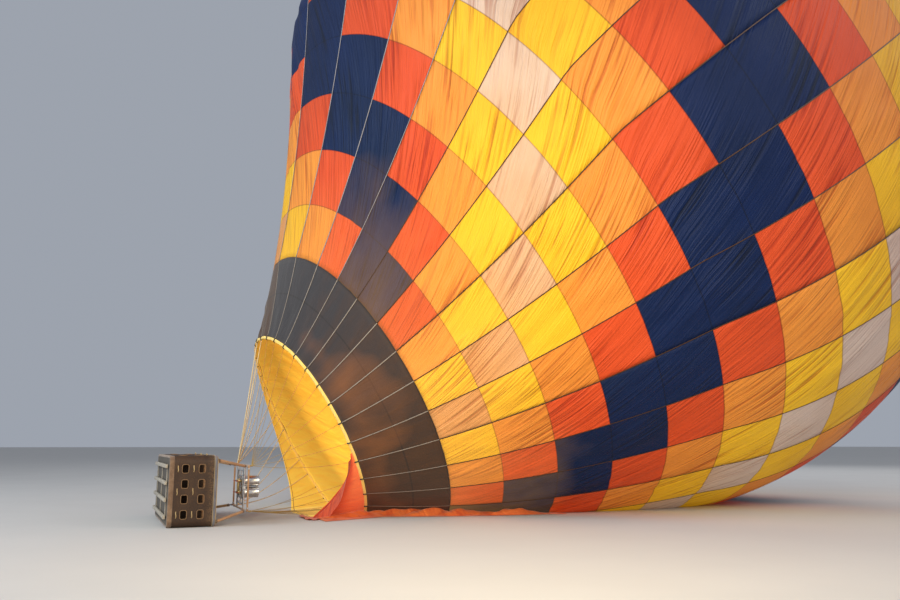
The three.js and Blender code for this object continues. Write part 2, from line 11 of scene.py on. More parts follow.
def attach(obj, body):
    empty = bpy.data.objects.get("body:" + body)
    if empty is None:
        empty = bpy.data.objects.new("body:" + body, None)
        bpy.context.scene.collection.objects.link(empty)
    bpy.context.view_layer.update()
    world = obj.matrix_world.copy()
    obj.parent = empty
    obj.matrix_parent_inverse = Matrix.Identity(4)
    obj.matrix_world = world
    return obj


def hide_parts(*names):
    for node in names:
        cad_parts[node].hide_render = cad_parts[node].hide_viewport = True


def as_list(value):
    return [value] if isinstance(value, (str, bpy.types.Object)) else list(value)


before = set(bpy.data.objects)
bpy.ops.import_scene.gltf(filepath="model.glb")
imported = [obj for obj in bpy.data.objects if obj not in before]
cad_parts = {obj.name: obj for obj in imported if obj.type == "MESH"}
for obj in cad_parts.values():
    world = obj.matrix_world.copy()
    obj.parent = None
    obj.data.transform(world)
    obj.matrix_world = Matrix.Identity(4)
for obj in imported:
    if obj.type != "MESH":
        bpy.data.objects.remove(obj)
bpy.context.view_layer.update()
print("frame loaded:", len(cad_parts), "nodes")

scene = bpy.context.scene
up = Vector((0, 0, 1))
groundZ = -0.85

# camera, floor and light

view = {
    "place": (-3.66, -23.04, 1.107),
    "yaw": 23.13,         # degrees from +Y towards +X
    "pitch": 10.118,      # degrees above the horizon
    "lens": 32.5,
    "sensor": 36,
    "farthest": 2000,
    "floorSize": 1600,
    "floorTone": (0.62, 0.60, 0.57, 1),
    "skyTone": (0.80, 0.87, 1.0, 1),
    "skyStrength": 0.42,
    "transform": "Standard",
}
# each light's place, target, size, power and colour
lights = {
    "key": ((-17, -43, 24), (6, 0, 5), 24, 11500, (1.0, 0.94, 0.84)),
    "side": ((-34, -6, 24), (6, 0, 9), 22, 9000, (0.72, 0.86, 1.0)),
    "glow": ((0.5, -15, 5.5), (8, 0, 5), 9, 700, (1.0, 0.80, 0.45)),
    "fill": ((45, -30, 34), (14, 0, 9), 30, 7000, (0.90, 0.95, 1.0)),
    "back": ((46, 32, 36), (14, 2, 9), 28, 6500, (0.95, 0.97, 1.0)),
    "warm": ((3.2, 1.6, 1.6), (9, 2, 5), 2.0, 700, (1.0, 0.74, 0.38)),
}


def makeCamera():
    lens = bpy.data.cameras.new("camera")
    lens.lens = view["lens"]
    lens.sensor_width = view["sensor"]
    lens.clip_end = view["farthest"]
    camera = bpy.data.objects.new("camera", lens)
    camera.location = view["place"]
    camera.rotation_euler = (radians(90 + view["pitch"]), 0, -radians(view["yaw"]))
    scene.collection.objects.link(camera)
    scene.camera = camera


def makeLight(name, place, target, size, power, tone):
    lamp = bpy.data.lights.new(name, "AREA")
    lamp.shape = "DISK"
    lamp.size = size
    lamp.energy = power
    lamp.color = tone
    lightObject = bpy.data.objects.new(name, lamp)
    lightObject.location = place
    aim = Vector(target) - Vector(place)
    lightObject.rotation_euler = aim.to_track_quat("-Z", "Y").to_euler()
    scene.collection.objects.link(lightObject)


def makeStage():
    bm = bmesh.new()
    bmesh.ops.create_grid(bm, x_segments=1, y_segments=1, size=view["floorSize"] / 2)
    bmesh.ops.translate(bm, verts=bm.verts, vec=(0, 0, groundZ))
    floor = meshObject("floor", bm)
    floor.data.materials.append(floorFinish())
    world = bpy.data.worlds.new("sky")
    world.use_nodes = True
    sky = world.node_tree.nodes["Background"]
    sky.inputs["Color"].default_value = view["skyTone"]
    sky.inputs["Strength"].default_value = view["skyStrength"]
    scene.world = world
    for name, settings in lights.items():
        makeLight(name, *settings)
    scene.view_settings.view_transform = view["transform"]


# meshes

def meshObject(name, bm):
    mesh = bpy.data.meshes.new(name)
    bm.to_mesh(mesh)
    bm.free()
    mesh.set_sharp_from_angle(angle=radians(42))
    piece = bpy.data.objects.new(name, mesh)
    scene.collection.objects.link(piece)
    return piece


# a flat grid over the ranges of u and v, bent by place(u, v); u and v stay as its UV map
def mappedGrid(bm, uRange, vRange, uSteps, vSteps, place):
    def across(ends, part):
        return ends[0] + (part + 0.5) * (ends[1] - ends[0])
    uvLayer = bm.loops.layers.uv.verify()
    made = bmesh.ops.create_grid(bm, x_segments=uSteps, y_segments=vSteps, size=0.5)["verts"]
    faces = {face for vert in made for face in vert.link_faces}
    for face in faces:
        face.smooth = True
        for loop in face.loops:
            flat = loop.vert.co
            loop[uvLayer].uv = across(uRange, flat.x), across(vRange, flat.y)
    for vert in made:
        vert.co = place(across(uRange, vert.co.x), across(vRange, vert.co.y))
    return made


# closes a mapped grid into one body and turns its faces outward
def closeUp(bm, made):
    bmesh.ops.remove_doubles(bm, verts=made, dist=0.0001)
    kept = [vert for vert in made if vert.is_valid]
    openEdges = list({edge for vert in kept for edge in vert.link_edges if edge.is_boundary})
    bmesh.ops.holes_fill(bm, edges=openEdges, sides=0)
    faces = list({face for vert in kept for face in vert.link_faces})
    bmesh.ops.recalc_face_normals(bm, faces=faces)


# a tube along a path, its UV along and around it; tall stretches the section along side
def sweep(bm, path, radius, sides=8, closed=False, side=None, tall=1.0, square=False):
    points = [Vector(p) for p in path]
    if closed:
        points.append(points[0])
    last = len(points) - 1
    frames = []
    for i, point in enumerate(points):
        before = points[i - 1] if i > 0 else points[-2] if closed else point
        after = points[i + 1] if i < last else points[1] if closed else point
        along = (after - before).normalized()
        if side is None:
            side = along.orthogonal()
        side = (side - along * side.dot(along)).normalized()
        size = radius(i / last) if callable(radius) else radius
        frames.append((point, side, along.cross(side), size))

    def place(u, v):
        point, first, second, size = frames[round(u)]
        c, s = cos(v), sin(v)
        if square:
            size *= (abs(c) ** 5 + abs(s) ** 5) ** -0.2
        return point + first * (size * tall * c) + second * (size * s)
    closeUp(bm, mappedGrid(bm, (0, last), (0, 2 * pi), last, sides, place))


# turns a half outline of (along, out) pairs about the X axis through a place
def turned(bm, outline, place, segments=28, turn=Matrix.Identity(3)):
    def at(u, v):
        x, r = outline[round(u)]
        return Vector(place) + turn @ Vector((x, r * cos(v), r * sin(v)))
    last = len(outline) - 1
    closeUp(bm, mappedGrid(bm, (0, last), (0, 2 * pi), last, segments, at))


# the path is given by its offsets from a place
def sweepFrom(bm, place, offsets, radius, sides):
    sweep(bm, [place + Vector(offset) for offset in offsets], radius, sides)


# points on a circle across the X axis
def circle(centre, radius, count):
    turns = (2 * pi * i / count for i in range(count))
    return [centre + Vector((0, radius * cos(a), radius * sin(a))) for a in turns]


# a rectangle across the X axis with rounded corners, its sides divided evenly
def roundedLoop(halfY, halfZ, corner, x=0.0, cornerSteps=6, spacing=0.12):
    path = []
    for cy, cz, start in ((1, 1, 0), (-1, 1, 90), (-1, -1, 180), (1, -1, 270)):
        for i in range(cornerSteps + 1):
            a = radians(start + 90 * i / cornerSteps)
            path.append(Vector((x, cy * (halfY - corner) + corner * cos(a),
                                cz * (halfZ - corner) + corner * sin(a))))
    even = []
    for point, follow in zip(path, path[1:] + path[:1]):
        steps = max(1, round((follow - point).length / spacing))
        even.extend(point.lerp(follow, k / steps) for k in range(steps))
    return even


def roundedBox(bm, low, high, bevel):
    made = bmesh.ops.create_cube(bm, size=1)["verts"]
    low, high = Vector(low), Vector(high)
    bmesh.ops.scale(bm, vec=high - low, verts=made)
    bmesh.ops.translate(bm, vec=(low + high) / 2, verts=made)
    edges = list({edge for vert in made for edge in vert.link_edges})
    bmesh.ops.bevel(bm, geom=edges, offset=bevel, offset_type="OFFSET", segments=2,
                    affect="EDGES", profile=0.5, material=-1)


# one finished piece; a cloth is drawn as a surface and has a wall
def makePiece(name, bm, finish, body, slot, *nodes, wall=0.0, wallSide=-1):
    piece = meshObject(name, bm)
    if wall:
        solid = piece.modifiers.new("wall", "SOLIDIFY")
        solid.thickness = wall
        solid.offset = wallSide
        solid.use_even_offset = False
    piece.data.materials.append(finishes[finish])
    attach(piece, body)
    if nodes:
        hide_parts(*nodes)
    return piece


# materials

class Value:
    def __init__(self, tree, socket):
        self.tree = tree
        self.socket = socket

    def math(self, operation, *items):
        return mathNode(self.tree, operation, self, *items)

    def __add__(self, other):
        return self.math("ADD", other)

    def __mul__(self, other):
        return self.math("MULTIPLY", other)

    def __sub__(self, other):
        return self.math("SUBTRACT", other)

    def __truediv__(self, other):
        return self.math("DIVIDE", other)

    def __rsub__(self, other):
        return mathNode(self.tree, "SUBTRACT", other, self)

    def __mod__(self, other):
        return self.math("FLOORED_MODULO", other)

    __radd__ = __add__
    __rmul__ = __mul__

    def floor(self):
        return self.math("FLOOR")

    def absolute(self):
        return self.math("ABSOLUTE")

    def sine(self):
        return self.math("SINE")

    def below(self, limit):
        return self.math("LESS_THAN", limit)

    def clamped(self):
        clamp = self.math("MULTIPLY", 1)
        clamp.socket.node.use_clamp = True
        return clamp


def connect(tree, item, socket):
    if isinstance(item, Value):
        tree.links.new(item.socket, socket)
    else:
        socket.default_value = item


def mathNode(tree, operation, *items):
    node = tree.nodes.new("ShaderNodeMath")
    node.operation = operation
    for item, socket in zip(items, node.inputs):
        connect(tree, item, socket)
    return Value(tree, node.outputs[0])


class Finish:
    def __init__(self, name, **fixed):
        self.material = bpy.data.materials.new(name)
        self.material.use_nodes = True
        self.tree = self.material.node_tree
        self.tree.nodes.clear()
        self.shader = self.tree.nodes.new("ShaderNodeBsdfPrincipled")
        output = self.tree.nodes.new("ShaderNodeOutputMaterial")
        self.tree.links.new(self.shader.outputs[0], output.inputs[0])
        for key, value in fixed.items():
            self.shader.inputs[key.replace("_", " ")].default_value = value

    def add(self, kind, settings=None, inputs=None, out=0):
        node = self.tree.nodes.new(kind)
        for key, value in (settings or {}).items():
            if key == "stops":
                self.setStops(node, value)
            else:
                setattr(node, key, value)
        for key, item in (inputs or {}).items():
            connect(self.tree, item, node.inputs[key])
        return Value(self.tree, node.outputs[out])

    def setStops(self, node, stops):
        ramp = node.color_ramp.elements
        while len(ramp) < len(stops):
            ramp.new(1)
        for element, (place, tone) in zip(ramp, stops):
            element.position = place
            element.color = (*tone, 1)

    def place(self):
        return self.add("ShaderNodeTexCoord", out="Object")

    def uv(self):
        return self.add("ShaderNodeUVMap")

    def split(self, vector):
        first = self.add("ShaderNodeSeparateXYZ", inputs={0: vector})
        return [Value(self.tree, socket) for socket in first.socket.node.outputs]

    def joined(self, x, y, z=0.0):
        return self.add("ShaderNodeCombineXYZ", inputs={"X": x, "Y": y, "Z": z})

    def noise(self, vector, scale, detail=2.0, roughness=0.5, distortion=0.0):
        return self.add("ShaderNodeTexNoise", inputs={
            "Vector": vector, "Scale": scale, "Detail": detail, "Roughness": roughness,
            "Distortion": distortion})

    def scaled(self, vector, factor):
        return self.add("ShaderNodeVectorMath", {"operation": "MULTIPLY"}, {0: vector, 1: factor})

    def mixed(self, factor, first, second, blend="MIX"):
        first, second = (item if isinstance(item, Value) else (*item, 1) for item in (first, second))
        return self.add("ShaderNodeMix", {"data_type": "RGBA", "blend_type": blend},
                        {0: factor, 6: first, 7: second}, out=2)

    def feed(self, **items):
        for key, item in items.items():
            connect(self.tree, item, self.shader.inputs[key.replace("_", " ")])

    def bump(self, height, strength, distance):
        normal = self.add("ShaderNodeBump", inputs={
            "Height": height, "Strength": strength, "Distance": distance})
        self.feed(Normal=normal)


def floorFinish():
    finish = Finish("stageFloor", Roughness=0.9)
    grain = finish.noise(finish.place(), 0.35, 4)
    finish.feed(Base_Color=finish.mixed(grain, view["floorTone"][:3], (0.56, 0.54, 0.51)))
    return finish.material


basketRim = -0.9      # the rim's x; the willow is frayed just under it
fabric = {
    "navy": (0.0005, 0.013, 0.080),
    "redOrange": (0.70, 0.085, 0.020),
    "lightOrange": (0.82, 0.30, 0.045),
    "yellow": (0.88, 0.53, 0.020),
    "white": (0.66, 0.54, 0.47),
    # painted warm light: the tan that the white cells take towards the mouth
    "tan": (0.70, 0.31, 0.10),
    "steps": ("navy", "navy", "redOrange", "lightOrange", "yellow", "white", "yellow",
              "lightOrange", "redOrange"),
    "shift": 3,
    "seam": 0.010,        # half width of a seam, in rows
    # painted glow: the panel cloth emits light of its own, strongest beside the mouth
    "paintedGlowStrength": 0.34,
    "paintedGlowOwnPart": 0.45,      # how much of the painted glow has the cloth's own colour
    "paintedMouthGlow": (1.0, 0.50, 0.15),
}


# the stair-step colours: each gore repeats its neighbour's, one row lower
def stairStep(finish, gore, row):
    count = len(fabric["steps"])
    step = (gore.floor() + row.floor() - fabric["shift"]) % count
    stops = [(i / count, fabric[tone]) for i, tone in enumerate(fabric["steps"])]
    tone = finish.add("ShaderNodeValToRGB", {"stops": stops}, {"Fac": (step + 0.5) / count})
    tone.socket.node.color_ramp.interpolation = "CONSTANT"
    # painted warm light: the white cells are tinted tan towards the mouth, as if lit by the flame
    white = (step - fabric["steps"].index("white")).absolute().below(0.5)
    tan = (1.25 - row / 4.5).clamped() * white
    return finish.mixed(tan * 0.85, tone, fabric["tan"])


def envelopeFinish():
    # painted glow: the cloth emits light at a fixed strength
    finish = Finish("panelCloth", Emission_Strength=fabric["paintedGlowStrength"], Specular_IOR_Level=0.25)
    gore, row, _ = finish.split(finish.uv())
    tone = stairStep(finish, gore, row)
    cell = finish.add("ShaderNodeTexWhiteNoise", {"noise_dimensions": "2D"},
                      {"Vector": finish.joined(gore.floor(), row.floor())})
    shade = finish.mixed(cell * 0.16, tone, (0.42, 0.24, 0.12), "MULTIPLY")
    # painted warm light towards the mouth, as if from the flame, and painted shade, browner towards the
    # crown and the first gores
    cloud = finish.noise(finish.joined(gore, row), 0.8, 3)
    warm = (1 - row / 7 + (cloud - 0.5) * 0.8).clamped()
    shade = finish.mixed(warm * 0.75, shade, (1.0, 0.83, 0.45), "MULTIPLY")
    paintedCrownShade = ((row - 3.2) / 7 - (gore - 5) * 0.055 + (cloud - 0.5) * 0.7).clamped()
    shade = finish.mixed(paintedCrownShade * 0.9, shade, (0.58, 0.45, 0.42), "MULTIPLY")
    # thin dark seams along the rows
    nearSeam = (row - (row + 0.5).floor()).absolute().below(fabric["seam"])
    shade = finish.mixed(nearSeam * 0.45, shade, (0.16, 0.05, 0.02), "MULTIPLY")
    # straight creases drawn slantwise from tape to tape, in bundles: their dark streaks are painted
    # shade, and the same streaks raise the bump
    lean = gore + row * 0.45
    bundles = finish.noise(finish.joined(lean * 1.1, gore * 0.5 - row * 0.45), 1.0, 2)
    streaks = finish.noise(finish.joined(lean * 13, gore * 0.35 - row * 0.35), 1.0, 2, 0.6)
    fine = finish.noise(finish.joined(lean * 34, gore * 0.8 - row * 0.8), 1.0, 1)
    bundled = ((bundles - 0.36) * 4).clamped()
    dark = ((0.48 - streaks) * 9).clamped() * bundled
    paintedCreaseShade = dark * 0.62 + (0.5 - fine).math("MAXIMUM", 0) * 0.5
    shade = finish.mixed(paintedCreaseShade, shade, (0.46, 0.17, 0.09), "MULTIPLY")
    weave = (gore * 2400).sine() * (row * 2100).sine() * 0.003
    # painted glow: the cloth gives off light of its own, most of it beside the mouth, in place of the
    # flame's light through the cloth
    glow = (1.05 - row * 0.36 - (gore - 7.5).absolute() * 0.06 + (cloud - 0.5) * 0.9).clamped()
    own = finish.mixed(fabric["paintedGlowOwnPart"], (0, 0, 0), shade)
    paintedGlowTone = finish.mixed(glow * 0.62, own, fabric["paintedMouthGlow"])
    finish.feed(Base_Color=shade, Roughness=0.50 + cloud * 0.12, Emission_Color=paintedGlowTone)
    finish.bump(streaks * (bundled * 0.8 + 0.2) + fine * 0.15 + weave - nearSeam * 0.04, 0.8, 0.17)
    return finish.material


# noise drawn out along the folds, the painted shade that it gives in their hollows, and the weave of
# the cloth
def clothFolds(finish, u, v, scale):
    folds = finish.noise(finish.joined(u * scale[0], v * scale[1]), 1.0, 4, 0.55, 0.5)
    weave = (u * 1800).sine() * (v * 1500).sine() * 0.01
    return folds, ((folds - 0.35) * 2.0).clamped(), weave


def bandFinish():
    # painted glow: the band emits its own colour
    finish = Finish("bandCloth", Emission_Strength=0.16, Sheen_Weight=0.15)
    gore, row, _ = finish.split(finish.uv())
    folds, shade, weave = clothFolds(finish, gore, row, (2.2, 1.2))
    low = ((gore - 2) / 7 + (folds - 0.5)).clamped()
    tone = finish.mixed(low, (0.034, 0.031, 0.036), (0.085, 0.034, 0.010))
    # painted shade: the folds' hollows darken the band
    tone = finish.mixed(shade * 0.6, finish.mixed(0.5, tone, (0.012, 0.007, 0.005)), tone)
    seam = (row + 0.72).absolute().below(0.015) + (row + 0.01).absolute().below(0.015)
    tone = finish.mixed(seam * 0.6, tone, (0.012, 0.008, 0.006))
    # painted light: the band is lit orange near the middle of the mouth, as if by the flame
    patches = finish.noise(finish.joined(gore * 0.5, row * 0.7), 1.0, 2, 0.5, 0.2)
    fromMiddle = (gore - 7.5).absolute() * 0.13 + (row + 1.25).absolute() * 0.7
    glow = ((patches - 0.42) * 2 - fromMiddle + 0.45).clamped()
    tone = finish.mixed(glow * 0.42, tone, (0.46, 0.15, 0.03))
    finish.feed(Base_Color=tone, Roughness=0.62 + folds * 0.25, Emission_Color=tone)
    finish.bump(folds + weave, 0.6, 0.05)
    return finish.material


# painted glow: each of these cloths emits its own colour at the given level
def clothFinish(name, light, dark, foldScale, foldDepth, paintedGlowLevel, roughness=0.75, seam=None, near=None):
    finish = Finish(name, Sheen_Weight=0.2, Emission_Strength=paintedGlowLevel)
    across, along, _ = finish.split(finish.uv())
    folds, shade, weave = clothFolds(finish, across, along, foldScale)
    # painted shade: the folds' hollows take the dark tone
    tone = finish.mixed(shade, dark, light)
    if near:
        # the near part is of another cloth, darker towards its free edge, with painted shade in its
        # folds' hollows
        part = finish.mixed(((along - 0.35) * 3).clamped(), near[1], near[2])
        part = finish.mixed(shade * 0.5, part, near[2])
        tone = finish.mixed(across.below(near[0]), tone, part)
    if seam:
        onSeam = (along - seam).absolute().below(0.015)
        tone = finish.mixed(onSeam * 0.6, tone, (0.03, 0.02, 0.012))
    finish.feed(Base_Color=tone, Roughness=roughness - 0.1 + folds * 0.2, Emission_Color=tone)
    finish.bump(folds + weave, 0.6, foldDepth)
    return finish.material


def webbingFinish(name, light, dark):
    finish = Finish(name, Roughness=0.8)
    x, y, z = finish.split(finish.place())
    ribs = ((x + y) * 900).sine() * ((z - y) * 900).sine()
    wear = finish.noise(finish.place(), 6, 4)
    finish.feed(Base_Color=finish.mixed(wear, dark, light), Roughness=0.7 + wear * 0.2)
    finish.bump(ribs, 0.5, 0.002)
    return finish.material


def tapeFinish():
    finish = Finish("loadTape")
    gore, row, _ = finish.split(finish.uv())
    wear = finish.noise(finish.place(), 2.5, 3)
    # painted light and shade: the tapes keep their own pale grey only on the first gores, the upper
    # rows and the far gores, and are painted dark brown elsewhere, where they stand against the light
    paintedTapeLight = ((3.6 - gore) * 2).clamped() + ((row - 6) / 6).clamped() * 0.5 + ((gore - 20) / 2).clamped()
    tone = finish.mixed(paintedTapeLight.clamped(), (0.085, 0.034, 0.013), (0.40, 0.36, 0.36))
    ribs = ((gore * 40).sine() + (row * 400).sine()) * 0.5
    tone = finish.mixed(wear * 0.5, tone, (0.05, 0.03, 0.02), "MULTIPLY")
    finish.feed(Base_Color=tone, Roughness=0.65 + wear * 0.25)
    finish.bump(ribs, 0.4, 0.002)
    return finish.material


def ropeFinish(name, light, dark, pitch=60):
    finish = Finish(name, Roughness=0.75)
    x, y, z = finish.split(finish.place())
    twist = ((x + y + z) * pitch * 6.28).sine()
    wear = finish.noise(finish.place(), 9, 3)
    tone = finish.mixed(wear * 0.7 + twist * 0.15, light, dark)
    finish.feed(Base_Color=tone)
    finish.bump(twist, 0.7, 0.003)
    return finish.material


def steelFinish(name, tone, stain, roughness=0.3):
    finish = Finish(name, Metallic=1.0)
    brushed = finish.noise(finish.scaled(finish.place(), (2, 60, 60)), 6, 3)
    soot = finish.noise(finish.place(), 5, 5, 0.6)
    mask = ((soot - 0.5) * 4).clamped()
    finish.feed(Base_Color=finish.mixed(mask * 0.6, tone, stain), Roughness=roughness + brushed * 0.22)
    finish.bump(brushed, 0.15, 0.001)
    return finish.material


def leatherFinish(name, tone, worn, scale=55, roughness=0.8):
    finish = Finish(name, Roughness=roughness, Sheen_Weight=0.3)
    grain = finish.add("ShaderNodeTexVoronoi", inputs={"Vector": finish.place(), "Scale": scale})
    scuff = finish.noise(finish.place(), 4, 6, 0.65)
    fine = finish.noise(finish.place(), 140, 3)
    mask = ((scuff - 0.42) * 3).clamped()
    shade = finish.mixed(mask, tone, worn)
    shade = finish.mixed(fine * 0.4, shade, (0.5, 0.42, 0.35), "MULTIPLY")
    finish.feed(Base_Color=shade, Roughness=roughness - 0.1 + fine * 0.25)
    finish.bump(grain * 0.5 + fine * 0.6, 0.5, 0.004)
    return finish.material


def wickerFinish():
    finish = Finish("wovenWillow")
    x = finish.split(finish.place())[0]
    streak = finish.noise(finish.scaled(finish.place(), (8, 8, 8)), 6, 5, 0.6)
    strands = finish.noise(finish.scaled(finish.place(), (160, 10, 10)), 1.0, 3)
    patch = finish.noise(finish.place(), 1.6, 3)
    tone = finish.mixed(((streak - 0.3) * 2.2).clamped(), (0.016, 0.007, 0.003), (0.085, 0.037, 0.013))
    tone = finish.mixed(((patch - 0.5) * 2.5).clamped() * 0.4, tone, (0.15, 0.075, 0.03))
    # painted shade in the gaps between the weavers
    shade = finish.mixed(((0.52 - strands) * 4).clamped() * 0.75, tone, (0.010, 0.004, 0.002))
    # paler frayed ends under the rim
    edge = ((x - basketRim + 0.25) * 5).clamped() * ((streak - 0.42) * 4).clamped()
    shade = finish.mixed(edge * 0.6, shade, (0.34, 0.20, 0.09))
    finish.feed(Base_Color=shade, Roughness=0.55 + streak * 0.3)
    finish.bump(strands * 0.8, 0.7, 0.006)
    return finish.material


def woodFinish(name, dark, light, soiled):
    finish = Finish(name, Roughness=0.7)
    grain = finish.noise(finish.scaled(finish.place(), (40, 1.5, 40)), 1.2, 5, 0.6, 1.2)
    dirt = finish.noise(finish.place(), 3, 4)
    tone = finish.mixed(grain, dark, light)
    tone = finish.mixed(((dirt - 0.5) * 3).clamped() * 0.5, tone, soiled)
    finish.feed(Base_Color=tone, Roughness=0.6 + grain * 0.3)
    finish.bump(grain, 0.5, 0.003)
    return finish.material


mouthYellow = ((0.98, 0.68, 0.09), (0.90, 0.54, 0.05))
finishes = {
    "panels": envelopeFinish(),
    "band": bandFinish(),
    "rim": clothFinish("rimCloth", (0.98, 0.74, 0.22), (0.90, 0.60, 0.12), (3, 8), 0.01, 0.12),
    "lining": clothFinish("liningCloth", *mouthYellow, (2.2, 1.4), 0.08, 0.34),
    "scoop": clothFinish("scoopCloth", *mouthYellow, (3.2, 1.0), 0.08, 0.34, seam=0.93,
                         near=(13.5, (0.90, 0.17, 0.045), (0.62, 0.060, 0.015))),
    "apron": clothFinish("apronCloth", (0.86, 0.20, 0.03), (0.50, 0.07, 0.012), (6, 2), 0.05, 0.08,
                         roughness=0.55),
    "flap": clothFinish("flapCloth", (0.78, 0.12, 0.03), (0.46, 0.045, 0.012), (5, 1.2), 0.06, 0.08,
                        roughness=0.6),
    "webbing": webbingFinish("crownWebbing", (0.05, 0.05, 0.055), (0.02, 0.02, 0.022)),
    "tape": tapeFinish(),
    "bandTape": webbingFinish("bandTape", (0.42, 0.36, 0.30), (0.22, 0.17, 0.13)),
    "wire": ropeFinish("wireSheath", (0.95, 0.78, 0.46), (0.70, 0.50, 0.24)),
    # painted shade: the near wires take a darkened copy of the wire sheath
    "shadedNearWire": ropeFinish("shadedNearWireSheath", (0.50, 0.33, 0.10), (0.26, 0.16, 0.05)),
    "rope": ropeFinish("handleRope", (0.62, 0.44, 0.20), (0.34, 0.22, 0.10), 40),
    "steel": steelFinish("frameSteel", (0.62, 0.63, 0.65), (0.30, 0.27, 0.24)),
    "burner": steelFinish("burnerSteel", (0.72, 0.72, 0.72), (0.33, 0.24, 0.18), 0.18),
    "tank": steelFinish("tankMetal", (0.66, 0.68, 0.70), (0.40, 0.40, 0.40), 0.34),
    "suede": leatherFinish("tanSuede", (0.46, 0.24, 0.11), (0.62, 0.38, 0.20)),
    "greySuede": leatherFinish("greySuede", (0.13, 0.13, 0.15), (0.24, 0.22, 0.22)),
    "rawhide": leatherFinish("rawhide", (0.17, 0.095, 0.05), (0.38, 0.25, 0.15), 30),
    "wicker": wickerFinish(),
    "wood": woodFinish("runnerAsh", (0.30, 0.24, 0.17), (0.58, 0.52, 0.42), (0.20, 0.17, 0.13)),
    "floorWood": woodFinish("floorPly", (0.055, 0.045, 0.035), (0.16, 0.13, 0.095),
                            (0.04, 0.034, 0.026)),
    # painted highlight: a paler cane for the step holes' borders
    "highlightCane": ropeFinish("paintedHighlightCane", (0.36, 0.21, 0.10), (0.14, 0.075, 0.035), 90),
    "brass": steelFinish("valveBrass", (0.55, 0.42, 0.20), (0.25, 0.20, 0.13), 0.32),
    "coil": steelFinish("coilSteel", (0.42, 0.38, 0.36), (0.16, 0.11, 0.09), 0.38),
    "redKnob": leatherFinish("valveRed", (0.45, 0.02, 0.015), (0.55, 0.05, 0.03), 90, 0.4),
    "black": leatherFinish("hoseBlack", (0.02, 0.02, 0.022), (0.05, 0.05, 0.05), 90, 0.5),
}
print("finishes made:", len(finishes))

makeCamera()
makeStage()

# the envelope's surface; a row counts seams from the first one above the band, a gore counts tapes

envelope = {
    "gores": 36,
    "panelGores": 3,
    "firstTape": 70.5,
    "heading": 2.3,
    "cone": 33.7,
    "radius": 12.9,
    "crownFlatness": 0.89,
    "crownArc": 0.935,
    "rowHeight": 1.875,
    "ventRow": 17.5,
    "firstSeam": 9.64,
    "bandRows": 1.65,
    "shapeRows": 1.4,
    "seamCentre": (3.48, 2.12, 2.68),
    "reach": (0.458, 0.001),     # the axis's way ahead per metre of slant, and its bend
    "climb": (0.357, 0.007),
    "mouthTilt": 25.4,
    "tiltPerMetre": 0.57,
    "widening": 0.08,
    "narrowing": 0.084,
    "farTuck": 0.42,
    "tuckFade": 1.3,
    "topDent": 0.12,
    "topDentFade": 3,
    "topDentAngle": 110,
    "lift": 0.094,
    "topSpread": 38,
    "spreadStart": 42.5,
    "spreadPeak": 110.5,
    "spreadFade": 8,
    "goreBulge": 0.001,
    "bulgeRise": 0.3,
    "rowPinch": 0.014,
    "foldDepth": 0.075,
    "shell": 0.01,
    "goreSteps": 12,
    "rowSteps": 9,
}
rimRow = -envelope["bandRows"]
goreAngle = 360 / envelope["gores"]
cone = radians(envelope["cone"])
heading = radians(envelope["heading"])
ahead = Vector((cos(heading), sin(heading), 0))
nearSide = Vector((sin(heading), -cos(heading), 0))
shoulderSlant = envelope["radius"] / math.tan(cone)
equatorSlant = shoulderSlant + envelope["radius"] * cone


def tiltAt(slant):
    return radians(envelope["mouthTilt"] + envelope["tiltPerMetre"] * min(slant, shoulderSlant))


# the direction of a tape or gore about the envelope's axis
def goreTurn(gore):
    return radians(envelope["firstTape"] - gore * goreAngle)


def lowerCentre(slant):
    d = slant - envelope["firstSeam"]
    reach, climb = (a * d + b * d * d for a, b in (envelope["reach"], envelope["climb"]))
    return Vector(envelope["seamCentre"]) + ahead * reach + up * climb


ringMemory = {}


# centre, radius and across direction of the envelope's ring at a row
def ringAt(row):
    key = round(row, 5)
    if key not in ringMemory:
        slant = envelope["firstSeam"] + row * envelope["rowHeight"]
        tilt = tiltAt(slant)
        axis = ahead * cos(tilt) + up * sin(tilt)
        across = up * cos(tilt) - ahead * sin(tilt)
        if slant < shoulderSlant:
            ringMemory[key] = (lowerCentre(slant), slant * sin(cone), across)
        else:
            size = envelope["radius"]
            turn = (slant - equatorSlant) / size
            angle = turn if turn < 0 else turn / envelope["crownArc"]
            flat = 1 if turn < 0 else envelope["crownFlatness"]
            rise = size * sin(cone) + size * flat * sin(angle)
            ringMemory[key] = (lowerCentre(shoulderSlant) + axis * rise, size * cos(angle), across)
    return ringMemory[key]


# how far a place has moved round the envelope, wide over the top and slack on the far side
def spreadAt(row, angle):
    start, peak, ground = envelope["spreadStart"], envelope["spreadPeak"], 270
    a = (angle + 90) % 360 - 90
    part = max(0, (a - start) / (peak - start)) if a < peak else (ground - a) / (ground - peak)
    reach = min(1, (row - rimRow) / envelope["bandRows"],
                (envelope["ventRow"] - row) / envelope["spreadFade"])
    return envelope["topSpread"] * sin(part * pi / 2) ** 2 * max(0, reach)


